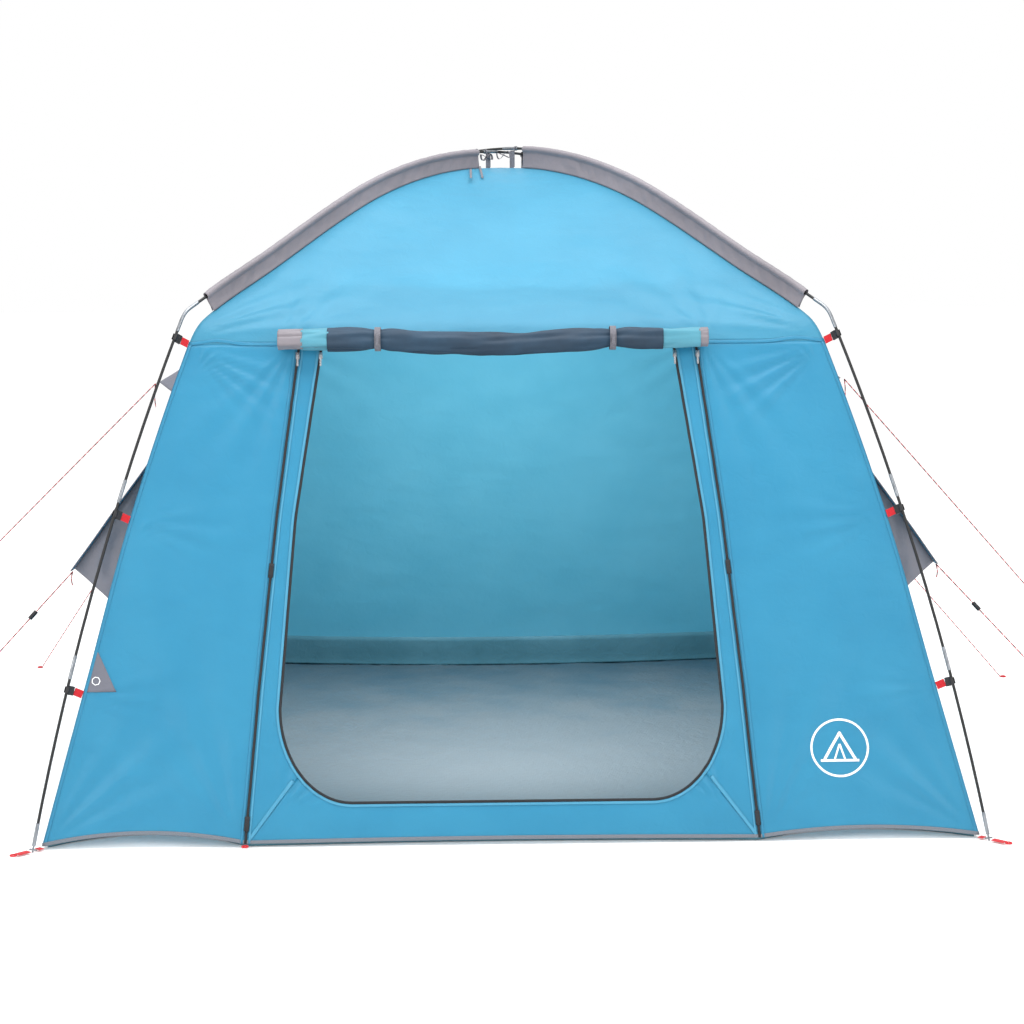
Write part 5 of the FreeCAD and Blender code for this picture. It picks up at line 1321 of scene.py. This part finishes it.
for name, body, points in ROPES:
    rope = cord_piece("guy_rope_%s_braid" % name, points, body, "knot", "taut")
    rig.replaces(rope, "guy_rope_" + name)
    # The short end that hangs from the tab.
    drop = VENT_TAIL if body == "tent" else AWNING_TAIL
    x, y, z = points[0]
    cord_piece("guy_rope_%s_tail" % name, [(x, y, z), (x * 1.006, y * 1.004, z - drop / 2),
                                          (x * 1.001, y * 1.006, z - drop)], body, "bare", "hanging")

# ---------------------------------------------------------------- camera, floor and light
CAMERA_PLACE = (-0.154, -7.603, 1.85)
camera_data = bpy.data.cameras.new("camera")
camera = put("camera", camera_data)
camera_data.lens = 70.07
camera_data.sensor_width = 36
pitch, yaw, roll = (math.radians(x) for x in (7.349, 1.446, -0.287))
forward = Vector((math.sin(yaw) * math.cos(pitch), math.cos(yaw) * math.cos(pitch), -math.sin(pitch)))
level = Vector((math.cos(yaw), -math.sin(yaw), 0))
over = level.cross(forward)
right = level * math.cos(roll) + over * math.sin(roll)
over = over * math.cos(roll) - level * math.sin(roll)
camera.matrix_world = Matrix((
    (right.x, over.x, -forward.x, CAMERA_PLACE[0]),
    (right.y, over.y, -forward.y, CAMERA_PLACE[1]),
    (right.z, over.z, -forward.z, CAMERA_PLACE[2]),
    (0, 0, 0, 1),
))
bpy.context.scene.camera = camera


def studio_light(name, place, target, width, height, power):
    """A soft box that faces a point."""
    data = bpy.data.lights.new(name, "AREA")
    data.shape = "RECTANGLE"
    data.size, data.size_y = width, height
    data.energy = power
    item = put(name, data)
    item.location = place
    item.rotation_euler = (Vector(target) - Vector(place)).to_track_quat("-Z", "Y").to_euler()
    item.visible_camera = False
    item.visible_glossy = not name.startswith("inside")


studio_light("overhead", (0.0, -1.5, 6.5), (0, 0, 1.0), 6.0, 5.0, 430)
studio_light("front left", (-5.5, -7.0, 4.0), (0, 0, 1.0), 3.0, 3.0, 180)
studio_light("front right", (5.5, -7.0, 4.0), (0, 0, 1.0), 3.0, 3.0, 150)
studio_light("inside fill", (0.0, 0.0, 1.66), (0, 0.1, 0.0), 1.2, 1.2, 26)
studio_light("inside fill back", (0.0, -0.9, 1.1), (0, 1.3, 0.9), 1.3, 1.2, 40)

world = bpy.data.worlds.new("studio")
bpy.context.scene.world = world
world.use_nodes = True
world.node_tree.nodes["Background"].inputs["Color"].default_value = linear("#ffffff")
world.node_tree.nodes["Background"].inputs["Strength"].default_value = 1.0

made = bmesh.new()
bmesh.ops.create_grid(made, x_segments=1, y_segments=1, size=60)
bmesh.ops.translate(made, vec=(0, 0, -0.0005), verts=made.verts)
floor_data = bpy.data.meshes.new("studio_floor")
made.to_mesh(floor_data)
made.free()
floor = put("studio_floor", floor_data)
floor_finish = new_material("pale_studio_paper")
floor_data.materials.append(finish_material(floor_finish, add(
    floor_finish, "BsdfPrincipled", {"Base Color": linear("#f4f4f4"), "Roughness": 0.9,
                                    "Emission Color": linear("#ffffff"),
                                    "Emission Strength": 0.14}).outputs[0]))
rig.stage(floor)
bpy.context.scene.view_settings.view_transform = "Standard"

visual_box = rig.bounds()
with open("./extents.json", "w") as sizes:
    json.dump({"cad": [list(corner) for corner in cad_box],
               "visual": [list(corner) for corner in visual_box]}, sizes)
